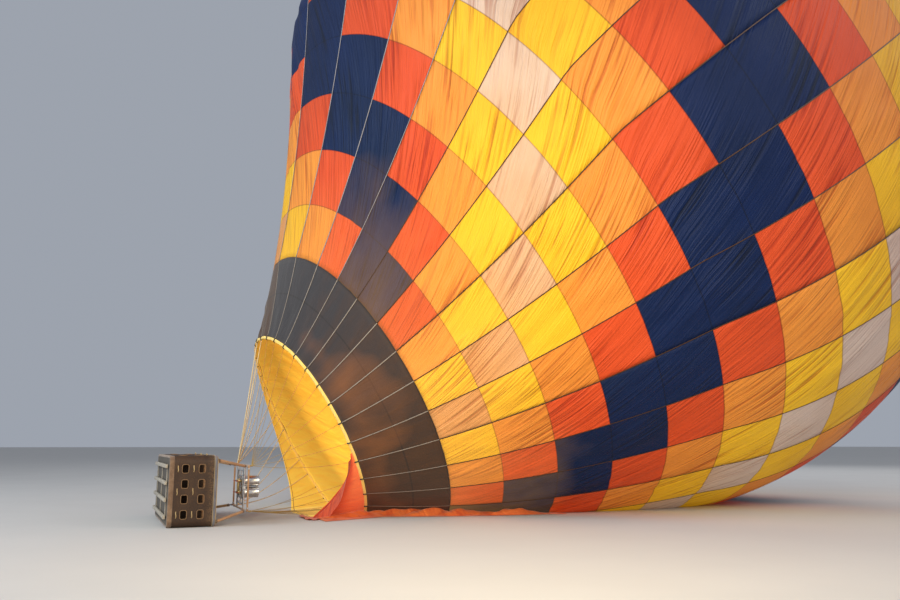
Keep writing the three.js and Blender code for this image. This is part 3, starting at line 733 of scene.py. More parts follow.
def roundPoint(gore, row):
    centre, radius, across = ringAt(row)
    below = envelope["shapeRows"]
    rise = min(1, max(0, (row + below) / (envelope["ventRow"] + below)))
    nominal = envelope["firstTape"] - gore * goreAngle
    angle = radians(nominal + spreadAt(row, nominal))
    bulge = 1 + envelope["goreBulge"] * sin(pi * (gore % 1)) * min(1, rise / envelope["bulgeRise"])
    wide = envelope["widening"] * (1 - rise) ** 2 - envelope["narrowing"] * sin(pi * rise)
    c = cos(angle)
    s = sin(angle)
    tuck = 1 - envelope["farTuck"] * (1 - rise) ** envelope["tuckFade"] if c < 0 else 1
    lift = 1 - envelope["lift"] * sin(pi * rise) if s < 0 else 1
    dentAt = max(0, cos(angle - radians(envelope["topDentAngle"]))) ** 2
    size = radius * bulge * (1 - envelope["topDent"] * (1 - rise) ** envelope["topDentFade"] * dentAt)
    return (centre + nearSide * (size * (1 + wide) * c * tuck)
            + across * (size * (1 - wide) * s * lift))


def skinNormal(gore, row):
    alongRow = roundPoint(gore, row + 0.05) - roundPoint(gore, row - 0.05)
    sideways = roundPoint(gore - 0.02, row) - roundPoint(gore + 0.02, row)
    return alongRow.cross(sideways).normalized()


# folds pulled slantwise between the tapes, deeper towards the middle of the envelope
def foldHeight(gore, row):
    slant = noise.noise(Vector(((gore + 0.45 * row) * 3.4, (gore - row) * 0.3, 3.1)))
    fine = noise.noise(Vector(((gore + 0.45 * row) * 7.5, (gore - row) * 0.5, 8.4)))
    patchy = 0.5 + noise.noise(Vector((gore * 0.35, row * 0.3, 1.7)))
    free = sin(pi * (gore % 1))
    return (slant + 0.5 * fine) * max(0.1, patchy) * free


def skinPoint(gore, row, outset=0.0):
    point = roundPoint(gore, row)
    pinch = envelope["rowPinch"] * (abs(sin(pi * row)) - 1) * sin(pi * (gore % 1))
    height = outset + pinch + envelope["foldDepth"] * foldHeight(gore, row)
    point += skinNormal(gore, row) * height
    point.z = max(point.z, groundZ)
    return point


def makePanels():
    rows = round(envelope["ventRow"] * envelope["rowSteps"])
    wide = envelope["panelGores"]
    for panel in range(envelope["gores"] // wide):
        bm = bmesh.new()
        mappedGrid(bm, (panel * wide, (panel + 1) * wide), (0, envelope["ventRow"]),
                   wide * envelope["goreSteps"], rows, skinPoint)
        makePiece(f"cloth_panel_{panel + 1:02d}", bm, "panels", "balloon", "envelope_fabric",
                  f"envelope_panel_{panel + 1:02d}", wall=envelope["shell"])


makePanels()
print("envelope panels made")


# a grid that runs round all gores and closes on itself
def closedGrid(rows, goreSteps, rowSteps, place, dist=0.0005):
    bm = bmesh.new()
    gores = envelope["gores"]
    mappedGrid(bm, (0, gores), rows, gores * goreSteps, rowSteps, place)
    bmesh.ops.remove_doubles(bm, verts=bm.verts, dist=dist)
    return bm


rim = {"width": 0.05, "proud": 0.012}


def makeBand():
    makePiece("band_cloth", closedGrid((rimRow, 0), 6, 14, skinPoint), "band", "balloon",
              "band_fabric", "mouth_band", wall=envelope["shell"])


def makeRim():
    low = rimRow - rim["width"] / envelope["rowHeight"]
    bm = closedGrid((low, rimRow + 0.03), 6, 3, lambda gore, row: skinPoint(gore, row, rim["proud"]))
    makePiece("rim_cloth", bm, "rim", "balloon", "scoop_fabric", "mouth_rim",
              wall=envelope["shell"] + 2 * rim["proud"])


tapes = {"width": 0.028, "proud": 0.012, "thick": 0.003}


# one load tape on each gore line, over the given rows
def makeTapes(name, finish, rows, steps):
    bm = bmesh.new()
    for tape in range(envelope["gores"]):
        def place(across, row, tape=tape):
            width = tapes["width"] / (ringAt(row)[1] * radians(goreAngle))
            return skinPoint(tape + (across - tape) * width, row, tapes["proud"])
        mappedGrid(bm, (tape - 0.5, tape + 0.5), rows, 2, steps, place)
    makePiece(name, bm, finish, "balloon", "webbing", wall=tapes["thick"])


makeBand()
makeRim()
makeTapes("load_tapes", "tape", (0, envelope["ventRow"]), 90)
makeTapes("band_tapes", "bandTape", (rimRow - 0.02, 0), 14)
print("band, rim and tapes made")

rigging = {
    "hookX": 0.062,
    "hookY": 1.175,
    "hookZ": 0.575,
    "nearRadius": 0.0055,
    "farRadius": 0.012,
    "sag": 0.06,
    "lowest": 0.03,
    "clearRows": 0.05,
    "inside": 0.02,
    "slack": range(22, 33),
    "tapes": ((0, 10), (10, 22), (22, 26), (26, 36)),
}
# the four corners with their directions in Y and Z
corners = (("near_top", -1, 1), ("near_bottom", -1, -1), ("far_bottom", 1, -1), ("far_top", 1, 1))

lining = {"first": 17, "last": 33, "depth": 0.042, "inside": 1.0, "thick": 0.006}


# a yellow lining covers the inside of the mouth's far half
def makeLining():
    def place(gore, row):
        edge = sin(pi * (gore - lining["first"]) / (lining["last"] - lining["first"]))
        ripple = noise.noise(Vector((gore * 1.3, row * 0.6, 5.5))) * 0.05 * edge
        return skinPoint(gore, row, -lining["depth"] - abs(ripple))
    bm = bmesh.new()
    mappedGrid(bm, (lining["first"], lining["last"]), (rimRow + 0.004, lining["inside"]),
               120, 44, place)
    return makePiece("lining_cloth", bm, "lining", "balloon", "scoop_fabric", "mouth_lining",
                     wall=lining["thick"])


scoop = {
    "first": 8.5,
    "last": 34,
    "reach": 2.3,
    "skew": 2.1,
    "peak": 1.5,
    "flare": 0.1,
    "clear": 0.025,
    "hem": 0.06,
    "rimTape": 0.031,
    "thick": 0.005,
    "fold": 0.03,
}


def outwardAt(gore):
    return nearSide * cos(goreTurn(gore)) + ringAt(rimRow)[2] * sin(goreTurn(gore))


# the scoop hangs from the rim outside the flying wires and lies on the ground at its lowest
def scoopPoint(gore, part):
    c = cos(goreTurn(gore))
    s = sin(goreTurn(gore))
    edge = roundPoint(gore, rimRow - scoop["rimTape"])
    outward = outwardAt(gore)
    focus = Vector((0, -rigging["hookY"] * math.tanh(3 * c), rigging["hookZ"] * math.tanh(3 * s)))
    along = (focus - edge).normalized() + outward * scoop["flare"]
    turn = min(1, max(0, (scoop["last"] - gore) / (scoop["last"] - scoop["first"])))
    reach = scoop["hem"] + scoop["reach"] * sin(pi * turn ** scoop["skew"]) ** scoop["peak"]
    point = edge + along * (reach * part)
    point += outward * (scoop["clear"] * min(1, part * reach / scoop["hem"]))
    point.z = max(point.z, groundZ)
    return point


def makeScoop():
    def place(gore, part):
        fold = noise.noise(Vector((gore * 1.1, part * 0.8, 4.4)))
        fold += 0.4 * noise.noise(Vector((gore * 3.2, part * 2, 9.1)))
        point = scoopPoint(gore, part) + outwardAt(gore) * (scoop["fold"] * fold * part)
        point.z = max(point.z, groundZ + 0.006 + 0.02 * max(0, fold) * part)
        return point
    bm = bmesh.new()
    mappedGrid(bm, (scoop["first"], scoop["last"]), (0, 1), 204, 36, place)
    return makePiece("scoop_cloth", bm, "scoop", "balloon", "scoop_fabric", "scoop",
                     wall=scoop["thick"])


apron = {
    "rows": (-1.5, -0.7, 0, 1, 2.2),
    "front": 1.9,
    "spread": 0.7,
    "width": 0.9,
    "end": 0.35,
    "clear": 0.12,
    "thick": 0.005,
    "wave": 0.20,
}


# where a row's near side leaves the ground, as a place along the gores
def groundGore(row):
    low = (envelope["firstTape"] + 90) / goreAngle
    high = envelope["firstTape"] / goreAngle
    for i in range(20):
        middle = (low + high) / 2
        if roundPoint(middle, row).z < groundZ:
            low = middle
        else:
            high = middle
    return low


# the slack hem lies on the ground along the near side of the mouth in soft folds
def makeApron():
    inner = []
    last = len(apron["rows"]) - 1
    for i, row in enumerate(apron["rows"]):
        foot = roundPoint(groundGore(row), row) + nearSide * apron["clear"]
        inner.append((foot, apron["width"] + (apron["end"] - apron["width"]) * i / last))
    front = inner[0][0] - ahead * apron["front"] + nearSide * apron["spread"]
    inner.insert(0, (front, apron["width"]))

    def place(along, part):
        index = min(int(along), len(inner) - 2)
        blend = along - index
        foot = inner[index][0].lerp(inner[index + 1][0], blend)
        width = inner[index][1] * (1 - blend) + inner[index + 1][1] * blend
        point = foot + nearSide * (part * width)
        ridge = 0.5 + noise.noise(Vector((point.x * 0.9, point.y * 3.5, 2.2)))
        ridge += 0.4 * noise.noise(Vector((point.x * 3, point.y * 7, 6.1)))
        ends = min(1, along * 3 + 0.1, (len(inner) - 1 - along) * 1.5 + 0.1)
        fade = sin(pi * min(1, part * 1.1 + 0.04)) ** 0.7 * ends
        point.z = groundZ + 0.008 + max(0, ridge) * apron["wave"] * fade
        return point
    bm = bmesh.new()
    mappedGrid(bm, (0, len(inner) - 1), (0, 1), 180, 30, place)
    return makePiece("apron_cloth", bm, "apron", "balloon", "apron_fabric", "mouth_apron",
                     wall=apron["thick"])


flap = {"first": 8.7, "last": 15.5, "width": 0.85, "thick": 0.004}


# a loose flap hangs from the scoop's near free edge and spreads on the ground
def makeFlap():
    def place(gore, part):
        t = (gore - flap["first"]) / (flap["last"] - flap["first"])
        width = flap["width"] * (0.10 + 0.90 * min(1, 1.5 * t)) * part
        fold = noise.noise(Vector((gore * 1.6, part * 0.7, 12.5)))
        point = scoopPoint(gore, 0.97) - ahead * (0.10 * part)
        point += outwardAt(gore) * (0.03 + 0.07 * part + 0.08 * fold * part)
        point.z -= width
        low = groundZ + 0.012
        if point.z < low:
            point += (nearSide * 0.8 - ahead * 0.25) * (low - point.z)
            point.z = low + 0.07 * abs(fold) * part
        return point
    bm = bmesh.new()
    mappedGrid(bm, (flap["first"], flap["last"]), (0, 1), 90, 24, place)
    return makePiece("flap_cloth", bm, "flap", "balloon", "apron_fabric",
                     wall=flap["thick"], wallSide=1)


# where a tape's wire ends, just inside the rim
def wireEnd(tape):
    end = skinPoint(tape, rimRow - rigging["clearRows"], -rigging["inside"])
    end.z = max(end.z, groundZ + rigging["lowest"])
    return end


# a dark loop joins each tape to its wire over the rim
def makeRimLoops():
    bm = bmesh.new()
    for tape in range(envelope["gores"]):
        path = [skinPoint(tape, rimRow + 0.045, rim["proud"] + 0.008),
                skinPoint(tape, rimRow - 0.028, rim["proud"] + 0.012),
                skinPoint(tape, rimRow - 0.034, 0.0), wireEnd(tape)]
        sweep(bm, path, 0.016, 8)
    makePiece("rim_loops", bm, "webbing", "balloon", "webbing")


liningPiece = makeLining()
scoopPiece = makeScoop()
apronPiece = makeApron()
flapPiece = makeFlap()
print("lining, scoop and apron made")

# the crown, drawn about the envelope's axis

crown = {"ventLap": 0.26, "ventBelow": 0.045, "sag": 0.012, "rows": 1.6}
crownTilt = tiltAt(equatorSlant)
crownAxis = ahead * cos(crownTilt) + up * sin(crownTilt)
equatorRow = (equatorSlant - envelope["firstSeam"]) / envelope["rowHeight"]
equatorCentre, equatorRadius, equatorAcross = ringAt(equatorRow)
ventRadius = ringAt(envelope["ventRow"])[1]


def domePoint(radius, angle, above):
    size = envelope["radius"]
    height = size * envelope["crownFlatness"] * math.sqrt(1 - (radius / size) ** 2)
    return (equatorCentre + crownAxis * (height + above)
            + (nearSide * cos(angle) + equatorAcross * sin(angle)) * radius)


def makeVent():
    reach = ventRadius + crown["ventLap"]
    low = envelope["ventRow"] - crown["ventLap"] / envelope["rowHeight"]

    def place(gore, row):
        part = (row - low) / crown["rows"]
        sag = crown["sag"] * sin(pi * (gore % 1)) * sin(pi * min(1, part))
        return domePoint(reach * (1 - part), goreTurn(gore), -crown["ventBelow"] + sag)
    bm = closedGrid((low, low + crown["rows"]), 4, 18, place, 0.0008)
    return makePiece("vent_cloth", bm, "panels", "vent", "envelope_fabric", "parachute_vent",
                     wall=envelope["shell"])


ventPiece = makeVent()
print("vent made")


# flying wires from the load frame's corners to each tape at the rim
def makeWires():
    random.seed(11)
    for (name, sideY, sideZ), (first, last) in zip(corners, rigging["tapes"]):
        bm = bmesh.new()
        hook = Vector((rigging["hookX"], sideY * rigging["hookY"], sideZ * rigging["hookZ"]))
        for tape in range(first, last):
            end = wireEnd(tape)
            middle = (hook + end) / 2
            loose = 1.9 if tape in rigging["slack"] else 1.0
            sag = rigging["sag"] * loose * (0.55 + random.random() * (0.9 if tape % 2 else 0.45))
            middle.z = max(middle.z - (hook - end).length * sag, groundZ + rigging["lowest"])
            path = [hook * (1 - t) ** 2 + middle * (2 * t * (1 - t)) + end * t * t
                    for t in (i / 16 for i in range(17))]
            sweep(bm, path, rigging["nearRadius"] if sideY < 0 else rigging["farRadius"], 6)
        sweepFrom(bm, hook, ((-0.035, 0, 0), (0.035, 0, 0)), 0.022, 10)
        # the near corners' wires take the painted shade copy of the sheath
        makePiece(f"cables_{name}", bm, "shadedNearWire" if sideY < 0 else "wire", "balloon", "wire",
                  f"flying_wires_{name}")


makeWires()
makeRimLoops()
print("wires made")

# the basket

basket = {
    "rimX": basketRim,
    "floorX": -2.03,
    "halfY": 2.1,
    "halfZ": 0.85,
    "corner": 0.19,
    "wall": 0.06,
    "bolster": 0.09,
    "edging": 0.12,
    "holeHeights": (0.37, 0.76),
    "holeHalf": (0.10, 0.075),
    "endSpacing": 0.36,
    "sideSpacing": 0.52,
    "stake": 0.045,
    "weaver": 0.014,
    "relief": 0.0045,
    "handle": 0.15,
    "roll": 0.0405,
    "skirt": 0.030,
}


# a place on a wall, from how far along it lies; the end walls run round their two corners
def wallPoint(side, along, lift):
    y = basket["halfY"]
    z = basket["halfZ"]
    r = basket["corner"]
    if side in ("lower", "upper"):
        return Vector((0, along, (1 if side == "upper" else -1) * (z + lift)))
    turn = 1 if side == "far" else -1
    over = abs(along) - (z - r)
    if over <= 0:
        return Vector((0, turn * (y + lift), along))
    angle = min(over / r, pi / 2)
    rise = math.copysign(z - r + (r + lift) * sin(angle), along)
    return Vector((0, turn * (y - r + (r + lift) * cos(angle)), rise))


# each weaver passes before one stake and behind the next
def weaveRelief(along, x):
    row = math.floor(x / basket["weaver"])
    phase = along / basket["stake"] * pi + (row % 2) * pi
    uneven = noise.noise(Vector((along * 3.1, x * 5.3, 0.4)))
    return basket["relief"] * (0.8 * sin(phase) + 0.8 * uneven - 1)


def cutHoles(bm, holes):
    halfAlong, halfX = basket["holeHalf"]
    for along, x in holes:
        for direction, middle, half in (((1, 0, 0), along, halfAlong), ((0, 1, 0), x, halfX)):
            for value in (middle - half, middle + half):
                bmesh.ops.bisect_plane(bm, geom=bm.verts[:] + bm.edges[:] + bm.faces[:], dist=0.0002,
                                       plane_co=Vector(direction) * value, plane_no=direction)
    gone = []
    for face in bm.faces:
        middle = face.calc_center_median()
        if any(abs(middle.x - along) < halfAlong and abs(middle.y - x) < halfX for along, x in holes):
            gone.append(face)
    bmesh.ops.delete(bm, geom=gone, context="FACES")


def makeWall(half, x0, x1, wall, holes, place, *nodes):
    bm = bmesh.new()
    mappedGrid(bm, (-half, half), (x0, x1), round(4 * half / basket["stake"]),
               round((x1 - x0) / basket["weaver"]), lambda u, v: Vector((u, v, 0)))
    cutHoles(bm, holes)
    # the inner face is a copy of the outer one, woven the other way
    inner = bmesh.ops.extrude_face_region(bm, geom=bm.faces[:], use_keep_orig=True)["geom"]
    for vert in inner:
        if isinstance(vert, bmesh.types.BMVert):
            vert.co.z = 1
    for vert in bm.verts:
        along, x, isInner = vert.co
        relief = weaveRelief(along, x)
        vert.co = place(along, -wall - relief if isInner else relief)
        vert.co.x = x
    bmesh.ops.recalc_face_normals(bm, faces=bm.faces[:])
    makePiece("woven_" + nodes[0], bm, "wicker", "balloon", "wicker", *nodes)


# a whipped cane border round each step hole, its paler cane a painted highlight on the holes' edges
def makeBorders(places):
    bm = bmesh.new()
    halfAlong, halfX = basket["holeHalf"]
    for side, along, x in places:
        path = []
        for _, c, s in circle(Vector(), 1, 20):
            square = (c ** 6 + s ** 6) ** (-1 / 6)
            point = wallPoint(side, along + (halfAlong + 0.003) * c * square, 0.001)
            point.x = x + (halfX + 0.003) * s * square
            path.append(point)
        sweep(bm, path, 0.009, 6, closed=True)
    makePiece("step_borders", bm, "highlightCane", "balloon", "wicker")


# rope handles stand out between the step holes
def makeHandles(places):
    bm = bmesh.new()
    for side, along, x in places:
        path = []
        for i in range(15):
            t = i / 14
            point = wallPoint(side, along + (t - 0.5) * basket["handle"],
                              -0.014 + 0.050 * sin(pi * t) ** 0.6)
            point.x = x + 0.004 * sin(6 * t)
            path.append(point)
        sweep(bm, path, 0.011, 8)
    makePiece("rope_handles", bm, "rope", "balloon", "webbing")


def basketOutline(outset, x):
    sizes = (basket[key] + outset for key in ("halfY", "halfZ", "corner"))
    return roundedLoop(*sizes, x, 8, 0.05)


def makeBasket():
    x0 = basket["floorX"] + basket["edging"]
    x1 = basket["rimX"] - basket["bolster"]
    heights = [basket["floorX"] + height for height in basket["holeHeights"]]
    endHoles = [(i * basket["endSpacing"], x) for x in heights for i in (-1.5, -0.5, 0.5, 1.5)]
    sideHoles = [(i * basket["sideSpacing"], x) for x in heights for i in (-3, -2, 2, 3)]
    endHalf = basket["halfZ"] - basket["corner"] + basket["corner"] * pi / 2
    sideHalf = basket["halfY"] - basket["corner"]
    # an end wall takes its two corners with it
    for side in ("near", "far"):
        makeWall(endHalf, x0, x1, basket["wall"], endHoles, partial(wallPoint, side),
                 "basket_end_" + side, f"basket_corner_{side}_top", f"basket_corner_{side}_bottom")
    for side in ("lower", "upper"):
        makeWall(sideHalf, x0, x1, basket["wall"], sideHoles, partial(wallPoint, side),
                 "basket_side_" + side)
    makeBorders([(side, along, x) for side in ("near", "far") for along, x in endHoles]
                + [(side, along, x) for side in ("lower", "upper") for along, x in sideHoles])
    handles = [(side, i * basket["endSpacing"], x) for side in ("near", "far")
               for i in (-1.5, 0, 1.5) for x in (sum(heights) / 2, heights[0] - 0.17)]
    handles += [("upper", i * basket["sideSpacing"], x1 - 0.10) for i in (-2.5, 0, 2.5)]
    makeHandles(handles)


# the padded roll on the rim, with its cover sewn in lengths
def makeRimRoll():
    middle = -basket["wall"] / 2
    path = basketOutline(middle, basket["rimX"] - basket["bolster"] / 2)
    count = len(path)

    def rollRadius(t):
        sewn = 0.05 * abs(sin(pi * t * count / 6)) ** 8
        return basket["roll"] * (1 - sewn + 0.02 * noise.noise(Vector((t * 90, 0, 0))))
    bm = bmesh.new()
    sweep(bm, path, rollRadius, 14, closed=True, tall=1.07, side=Vector((1, 0, 0)))
    roll = makePiece("rim_roll", bm, "greySuede", "balloon", "suede", "basket_bolster")
    bm = bmesh.new()
    for outset in (0.006, -basket["wall"] - 0.006):
        path = basketOutline(outset, basket["rimX"] - basket["bolster"] + 0.012)
        sweep(bm, path, 0.005, 6, closed=True)
    # painted highlight: a tan rope along the top of the roll stands in for the light on it
    sweep(bm, basketOutline(middle, basket["rimX"] - 0.004), 0.013, 8, closed=True)
    makePiece("roll_lacing", bm, "rope", "balloon", "webbing")
    return roll


# the rawhide skirt round the floor
def makeSkirt():
    path = basketOutline(-basket["wall"] / 2, basket["floorX"] + basket["edging"] / 2)
    bm = bmesh.new()
    sweep(bm, path, lambda t: basket["skirt"] * (1 + 0.03 * noise.noise(Vector((t * 70, 2, 0)))),
          16, closed=True, tall=2.0, side=Vector((1, 0, 0)), square=True)
    makePiece("floor_skirt", bm, "rawhide", "balloon", "rawhide", "basket_edging")


partition = {
    "y": 0.5,
    "thick": 0.05,
    "aboveFloor": 0.04,
    "belowRim": 0.14,
    "clear": 0.002,
    "roll": 0.0285,
}


# a cross wall on each side of the middle, and a long one from there to the basket's end
def makePartitions():
    x0 = basket["floorX"] + partition["aboveFloor"]
    x1 = basket["rimX"] - partition["belowRim"]
    half = partition["thick"] / 2
    crossEnd = basket["halfZ"] - basket["wall"] - partition["clear"]
    longEnd = basket["halfY"] - basket["wall"] - partition["clear"]
    cover = bmesh.new()
    for name, turn in (("near", -1), ("far", 1)):
        y = turn * partition["y"]
        longStart = turn * (partition["y"] + half + 0.001)
        middle = (longStart + turn * longEnd) / 2
        makeWall(crossEnd, x0, x1, partition["thick"], [],
                 lambda along, lift, y=y: Vector((0, y + half + lift, along)),
                 "partition_cross_" + name)
        makeWall(abs(turn * longEnd - longStart) / 2, x0, x1, partition["thick"], [],
                 lambda along, lift, middle=middle: Vector((0, middle + along, half + lift)),
                 "partition_long_" + name)
        for start, end in ((Vector((x1, y, -crossEnd)), Vector((x1, y, crossEnd))),
                           (Vector((x1, longStart, 0)), Vector((x1, turn * longEnd, 0)))):
            sweep(cover, [start.lerp(end, i / 30) for i in range(31)],
                  lambda t: partition["roll"] + 0.0012 * sin(t * 40), 12)
    return makePiece("partition_rolls", cover, "suede", "balloon", "suede")


runner = {
    "places": (-0.6, -0.2, 0.2, 0.6),
    "half": 0.045,
    "bottom": 0.08,
    "reach": 1.91,
    "battens": (-1.6, 0, 1.6),
    "battenReach": 0.645,
    "batten": 0.020,
    "boltSpacing": 0.044,
}


def makeRunners():
    wood = bmesh.new()
    bolts = bmesh.new()
    x = basket["floorX"]
    half = runner["half"]
    reach = runner["reach"]
    for z in runner["places"]:
        roundedBox(wood, (x - runner["bottom"], -reach, z - half),
                   (x - runner["batten"] - 0.001, reach, z + half), 0.012)
    for y in runner["battens"]:
        roundedBox(wood, (x - runner["batten"], y - half, -runner["battenReach"]),
                   (x - 0.001, y + half, runner["battenReach"]), 0.004)
        for z in runner["places"]:
            for side in (-0.5, 0.5):
                head = bmesh.ops.create_cone(bolts, cap_ends=True, segments=6, radius1=0.010,
                                             radius2=0.009, depth=0.008)["verts"]
                place = (x - runner["bottom"] - 0.002, y + side * runner["boltSpacing"], z)
                turn = Matrix.Translation(place) @ Matrix.Rotation(-pi / 2, 4, "Y")
                bmesh.ops.transform(bolts, matrix=turn, verts=head)
    makePiece("runner_boards", wood, "wood", "balloon", "runner_wood", "basket_runners")
    makePiece("runner_bolts", bolts, "steel", "balloon", "frame_steel")


makeBasket()
padding = [makeRimRoll()]
makeSkirt()
padding.append(makePartitions())
makeRunners()
print("basket made")

# fuel cylinders strapped in the pilot's compartment

tank = {
    "radius": 0.15,
    "length": 0.85,
    "y": 0.3,
    "z": 0.6,
    "aboveFloor": 0.041,
    # the outline, as how far along from the foot or the head, and the part of the radius
    "foot": ((0.0, 0.0), (0.0, 0.72), (0.012, 0.80), (0.03, 0.80), (0.035, 0.86), (0.06, 0.96),
             (0.09, 0.998), (0.42, 0.998), (0.422, 1.0), (0.432, 1.0), (0.434, 0.998)),
    "head": ((-0.10, 0.998), (-0.05, 0.94), (-0.02, 0.82), (-0.004, 0.60)),
    "neck": 0.058,
    "collar": ((-0.03, 0.088), (0.064, 0.088), (0.066, 0.086), (0.064, 0.084), (-0.03, 0.084),
               (-0.03, 0.088)),
    "straps": (0.22, 0.58),
    "strapHalf": 0.024,
    "strapThick": 0.004,
    "buckle": (0.028, 0.004, 0.022),
    "wheel": 0.026,
    "wheelX": 0.050,
}


def makeTanks():
    r = tank["radius"]
    length = tank["length"]
    outline = [(along, r * part) for along, part in tank["foot"]]
    outline += [(length + along, r * part) for along, part in tank["head"]]
    outline += [(length, tank["neck"]), (length, 0.0)]
    collar = [(length + along, out) for along, out in tank["collar"]]
    low, high = r + 0.0005, r + tank["strapThick"]
    straps, valves, wheels = bmesh.new(), bmesh.new(), bmesh.new()
    for name, turnY, turnZ in corners:
        place = Vector((basket["floorX"] + tank["aboveFloor"], turnY * tank["y"], turnZ * tank["z"]))
        bm = bmesh.new()
        turned(bm, outline, place, 32)
        turned(bm, collar, place, 32)
        makePiece("tank_" + name, bm, "tank", "balloon", "tank_metal", "fuel_cylinder_" + name)
        for along in tank["straps"]:
            start, end = along - tank["strapHalf"], along + tank["strapHalf"]
            section = [(start, low), (end, low), (end, high), (start, high), (start, low)]
            turned(straps, section, place, 28)
            buckle = place + Vector((along, -turnY * high, 0))
            half = Vector(tank["buckle"])
            roundedBox(valves, buckle - half, buckle + half, 0.003)
        # the valve with its two outlets, and the hand wheel on its stem
        top = place + Vector((length, 0, 0))
        sweepFrom(valves, top, ((-0.004, 0, 0), (0.036, 0, 0)), 0.014, 12)
        sweepFrom(valves, top, ((0.022, 0, 0), (0.022, 0.045, 0)), 0.009, 10)
        sweepFrom(valves, top, ((0.014, 0, -0.03), (0.014, 0, -0.062)), 0.012, 12)
        hub = top + Vector((tank["wheelX"], 0, 0))
        sweep(wheels, circle(hub, tank["wheel"], 20), 0.006, 8, closed=True)
        for arm in (Vector((0, tank["wheel"], 0)), Vector((0, 0, tank["wheel"]))):
            sweep(wheels, [hub - arm, hub + arm], 0.004, 6)
        sweepFrom(wheels, top, ((0.036, 0, 0), (0.054, 0, 0)), 0.006, 8)
    makePiece("tank_straps", straps, "rawhide", "balloon", "rawhide")
    makePiece("tank_valves", valves, "brass", "balloon", "tank_metal")
    makePiece("tank_wheels", wheels, "redKnob", "balloon", "tank_metal")


makeTanks()
print("cylinders made")

# padded uprights, frame, gimbal and burners

stay = {
    "footInset": 0.11,
    "headX": -0.0253,
    "headY": 1.15,
    "headZ": 0.55,
    "pole": 0.018,
    "radius": 0.036,
    "cover": (0.03, 0.90),
    "cuffs": (0.035, 0.885),
    "cuff": 0.0385,
    "socket": 0.026,
    "laceFrom": 0.06,
    "laceLength": 0.80,
    "laceTurn": 0.30,
    "laces": 56,
}


def makeUprights():
    covers = []
    lacing, cuffs, poles = bmesh.new(), bmesh.new(), bmesh.new()
    for name, turnY, turnZ in corners:
        foot = Vector((basket["rimX"] + 0.001, turnY * (basket["halfY"] - stay["footInset"]),
                       turnZ * (basket["halfZ"] - stay["footInset"])))
        head = Vector((stay["headX"], turnY * stay["headY"], turnZ * stay["headZ"]))
        along = (head - foot).normalized()
        inward = Vector((0, -turnY, -turnZ))
        inward = (inward - along * along.dot(inward)).normalized()
        across = along.cross(inward)

        # the cover narrows at its ends and where its lacing pulls it in
        def coverRadius(t):
            ends = 0.08 * sin(pi * min(1, 12 * t, 12 * (1 - t)) / 2)
            pulled = 0.05 * abs(cos(pi * t * 5)) ** 10
            uneven = 0.03 * noise.noise(Vector((t * 14, turnY, turnZ)))
            return stay["radius"] * (0.92 + ends - pulled + uneven)
        start, end = stay["cover"]
        bm = bmesh.new()
        sweep(bm, [foot.lerp(head, start + (end - start) * i / 40) for i in range(41)], coverRadius, 16)
        covers.append(makePiece("cover_" + name, bm, "suede", "balloon", "suede", "upright_" + name))
        sweep(poles, [foot, head], stay["pole"], 12)
        for t in stay["cuffs"]:
            offsets = [along * step for step in (-0.022, -0.018, 0.018, 0.022)]
            sweepFrom(cuffs, foot.lerp(head, t), offsets, stay["cuff"], 16)
        zigzag = []
        for i in range(stay["laces"] + 1):
            turn = stay["laceTurn"] if i % 2 else -stay["laceTurn"]
            out = (inward * cos(turn) + across * sin(turn)) * (stay["radius"] + 0.001)
            t = stay["laceFrom"] + stay["laceLength"] * i / stay["laces"]
            zigzag.append(foot.lerp(head, t) + out)
        sweep(lacing, zigzag, 0.0028, 5)
        # the socket that takes the pole's head under the frame's corner
        offsets = [along * step for step in (-0.05, -0.046, -0.004, 0)]
        sweepFrom(poles, head, offsets, stay["socket"], 14)
    makePiece("cover_lacing", lacing, "rope", "balloon", "webbing")
    makePiece("cover_cuffs", cuffs, "rawhide", "balloon", "rawhide")
    makePiece("upright_poles", poles, "steel", "balloon", "frame_steel")
    return covers


loadFrame = {
    "halfY": 1.175,
    "halfZ": 0.575,
    "corner": 0.05,
    "tube": 0.0245,
    "bar": 0.515,
    "pin": 0.015,
    "play": 0.002,
    "puff": 0.12,
    "puffs": 26,
    "sleeve": 0.075,
}


def makeFrame():
    tube = loadFrame["tube"]
    halfY, halfZ = loadFrame["halfY"], loadFrame["halfZ"]

    # the cover puffs out between its ties
    def coverRadius(t):
        puff = abs(sin(pi * t * loadFrame["puffs"])) ** 0.5 - 1
        return tube * (1 + loadFrame["puff"] * puff)
    bm = bmesh.new()
    sweep(bm, roundedLoop(halfY, halfZ, loadFrame["corner"]), coverRadius, 14, closed=True)
    cover = makePiece("frame_cover", bm, "suede", "balloon", "suede", "load_frame")
    bm = bmesh.new()
    # the bearing that takes the gimbal's pin, with its two flanges
    bore = loadFrame["pin"] + loadFrame["play"]
    bearing = [(-0.025, bore), (-0.025, 0.034), (-0.019, 0.036), (0.019, 0.036), (0.025, 0.034),
               (0.025, bore), (-0.025, bore)]
    for turn in (-1, 1):
        middle = Vector((0, turn * loadFrame["bar"], 0))
        sweepFrom(bm, middle, [(0, 0, z) for z in (-halfZ, -0.05, 0.05, halfZ)], tube, 14)
        turned(bm, bearing, middle, 24, Matrix.Rotation(pi / 2, 3, "Z"))
    for _, turnY, turnZ in corners:
        for step in (Vector((0, 1, 0)), Vector((0, 0, 1))):
            middle = Vector((0, turnY * (halfY - loadFrame["sleeve"] * step.y),
                             turnZ * (halfZ - loadFrame["sleeve"] * step.z)))
            offsets = [step * part for part in (-0.020, -0.017, 0.017, 0.020)]
            sweepFrom(bm, middle, offsets, tube + 0.004, 14)
    makePiece("frame_tubes", bm, "steel", "balloon", "frame_steel")
    return cover


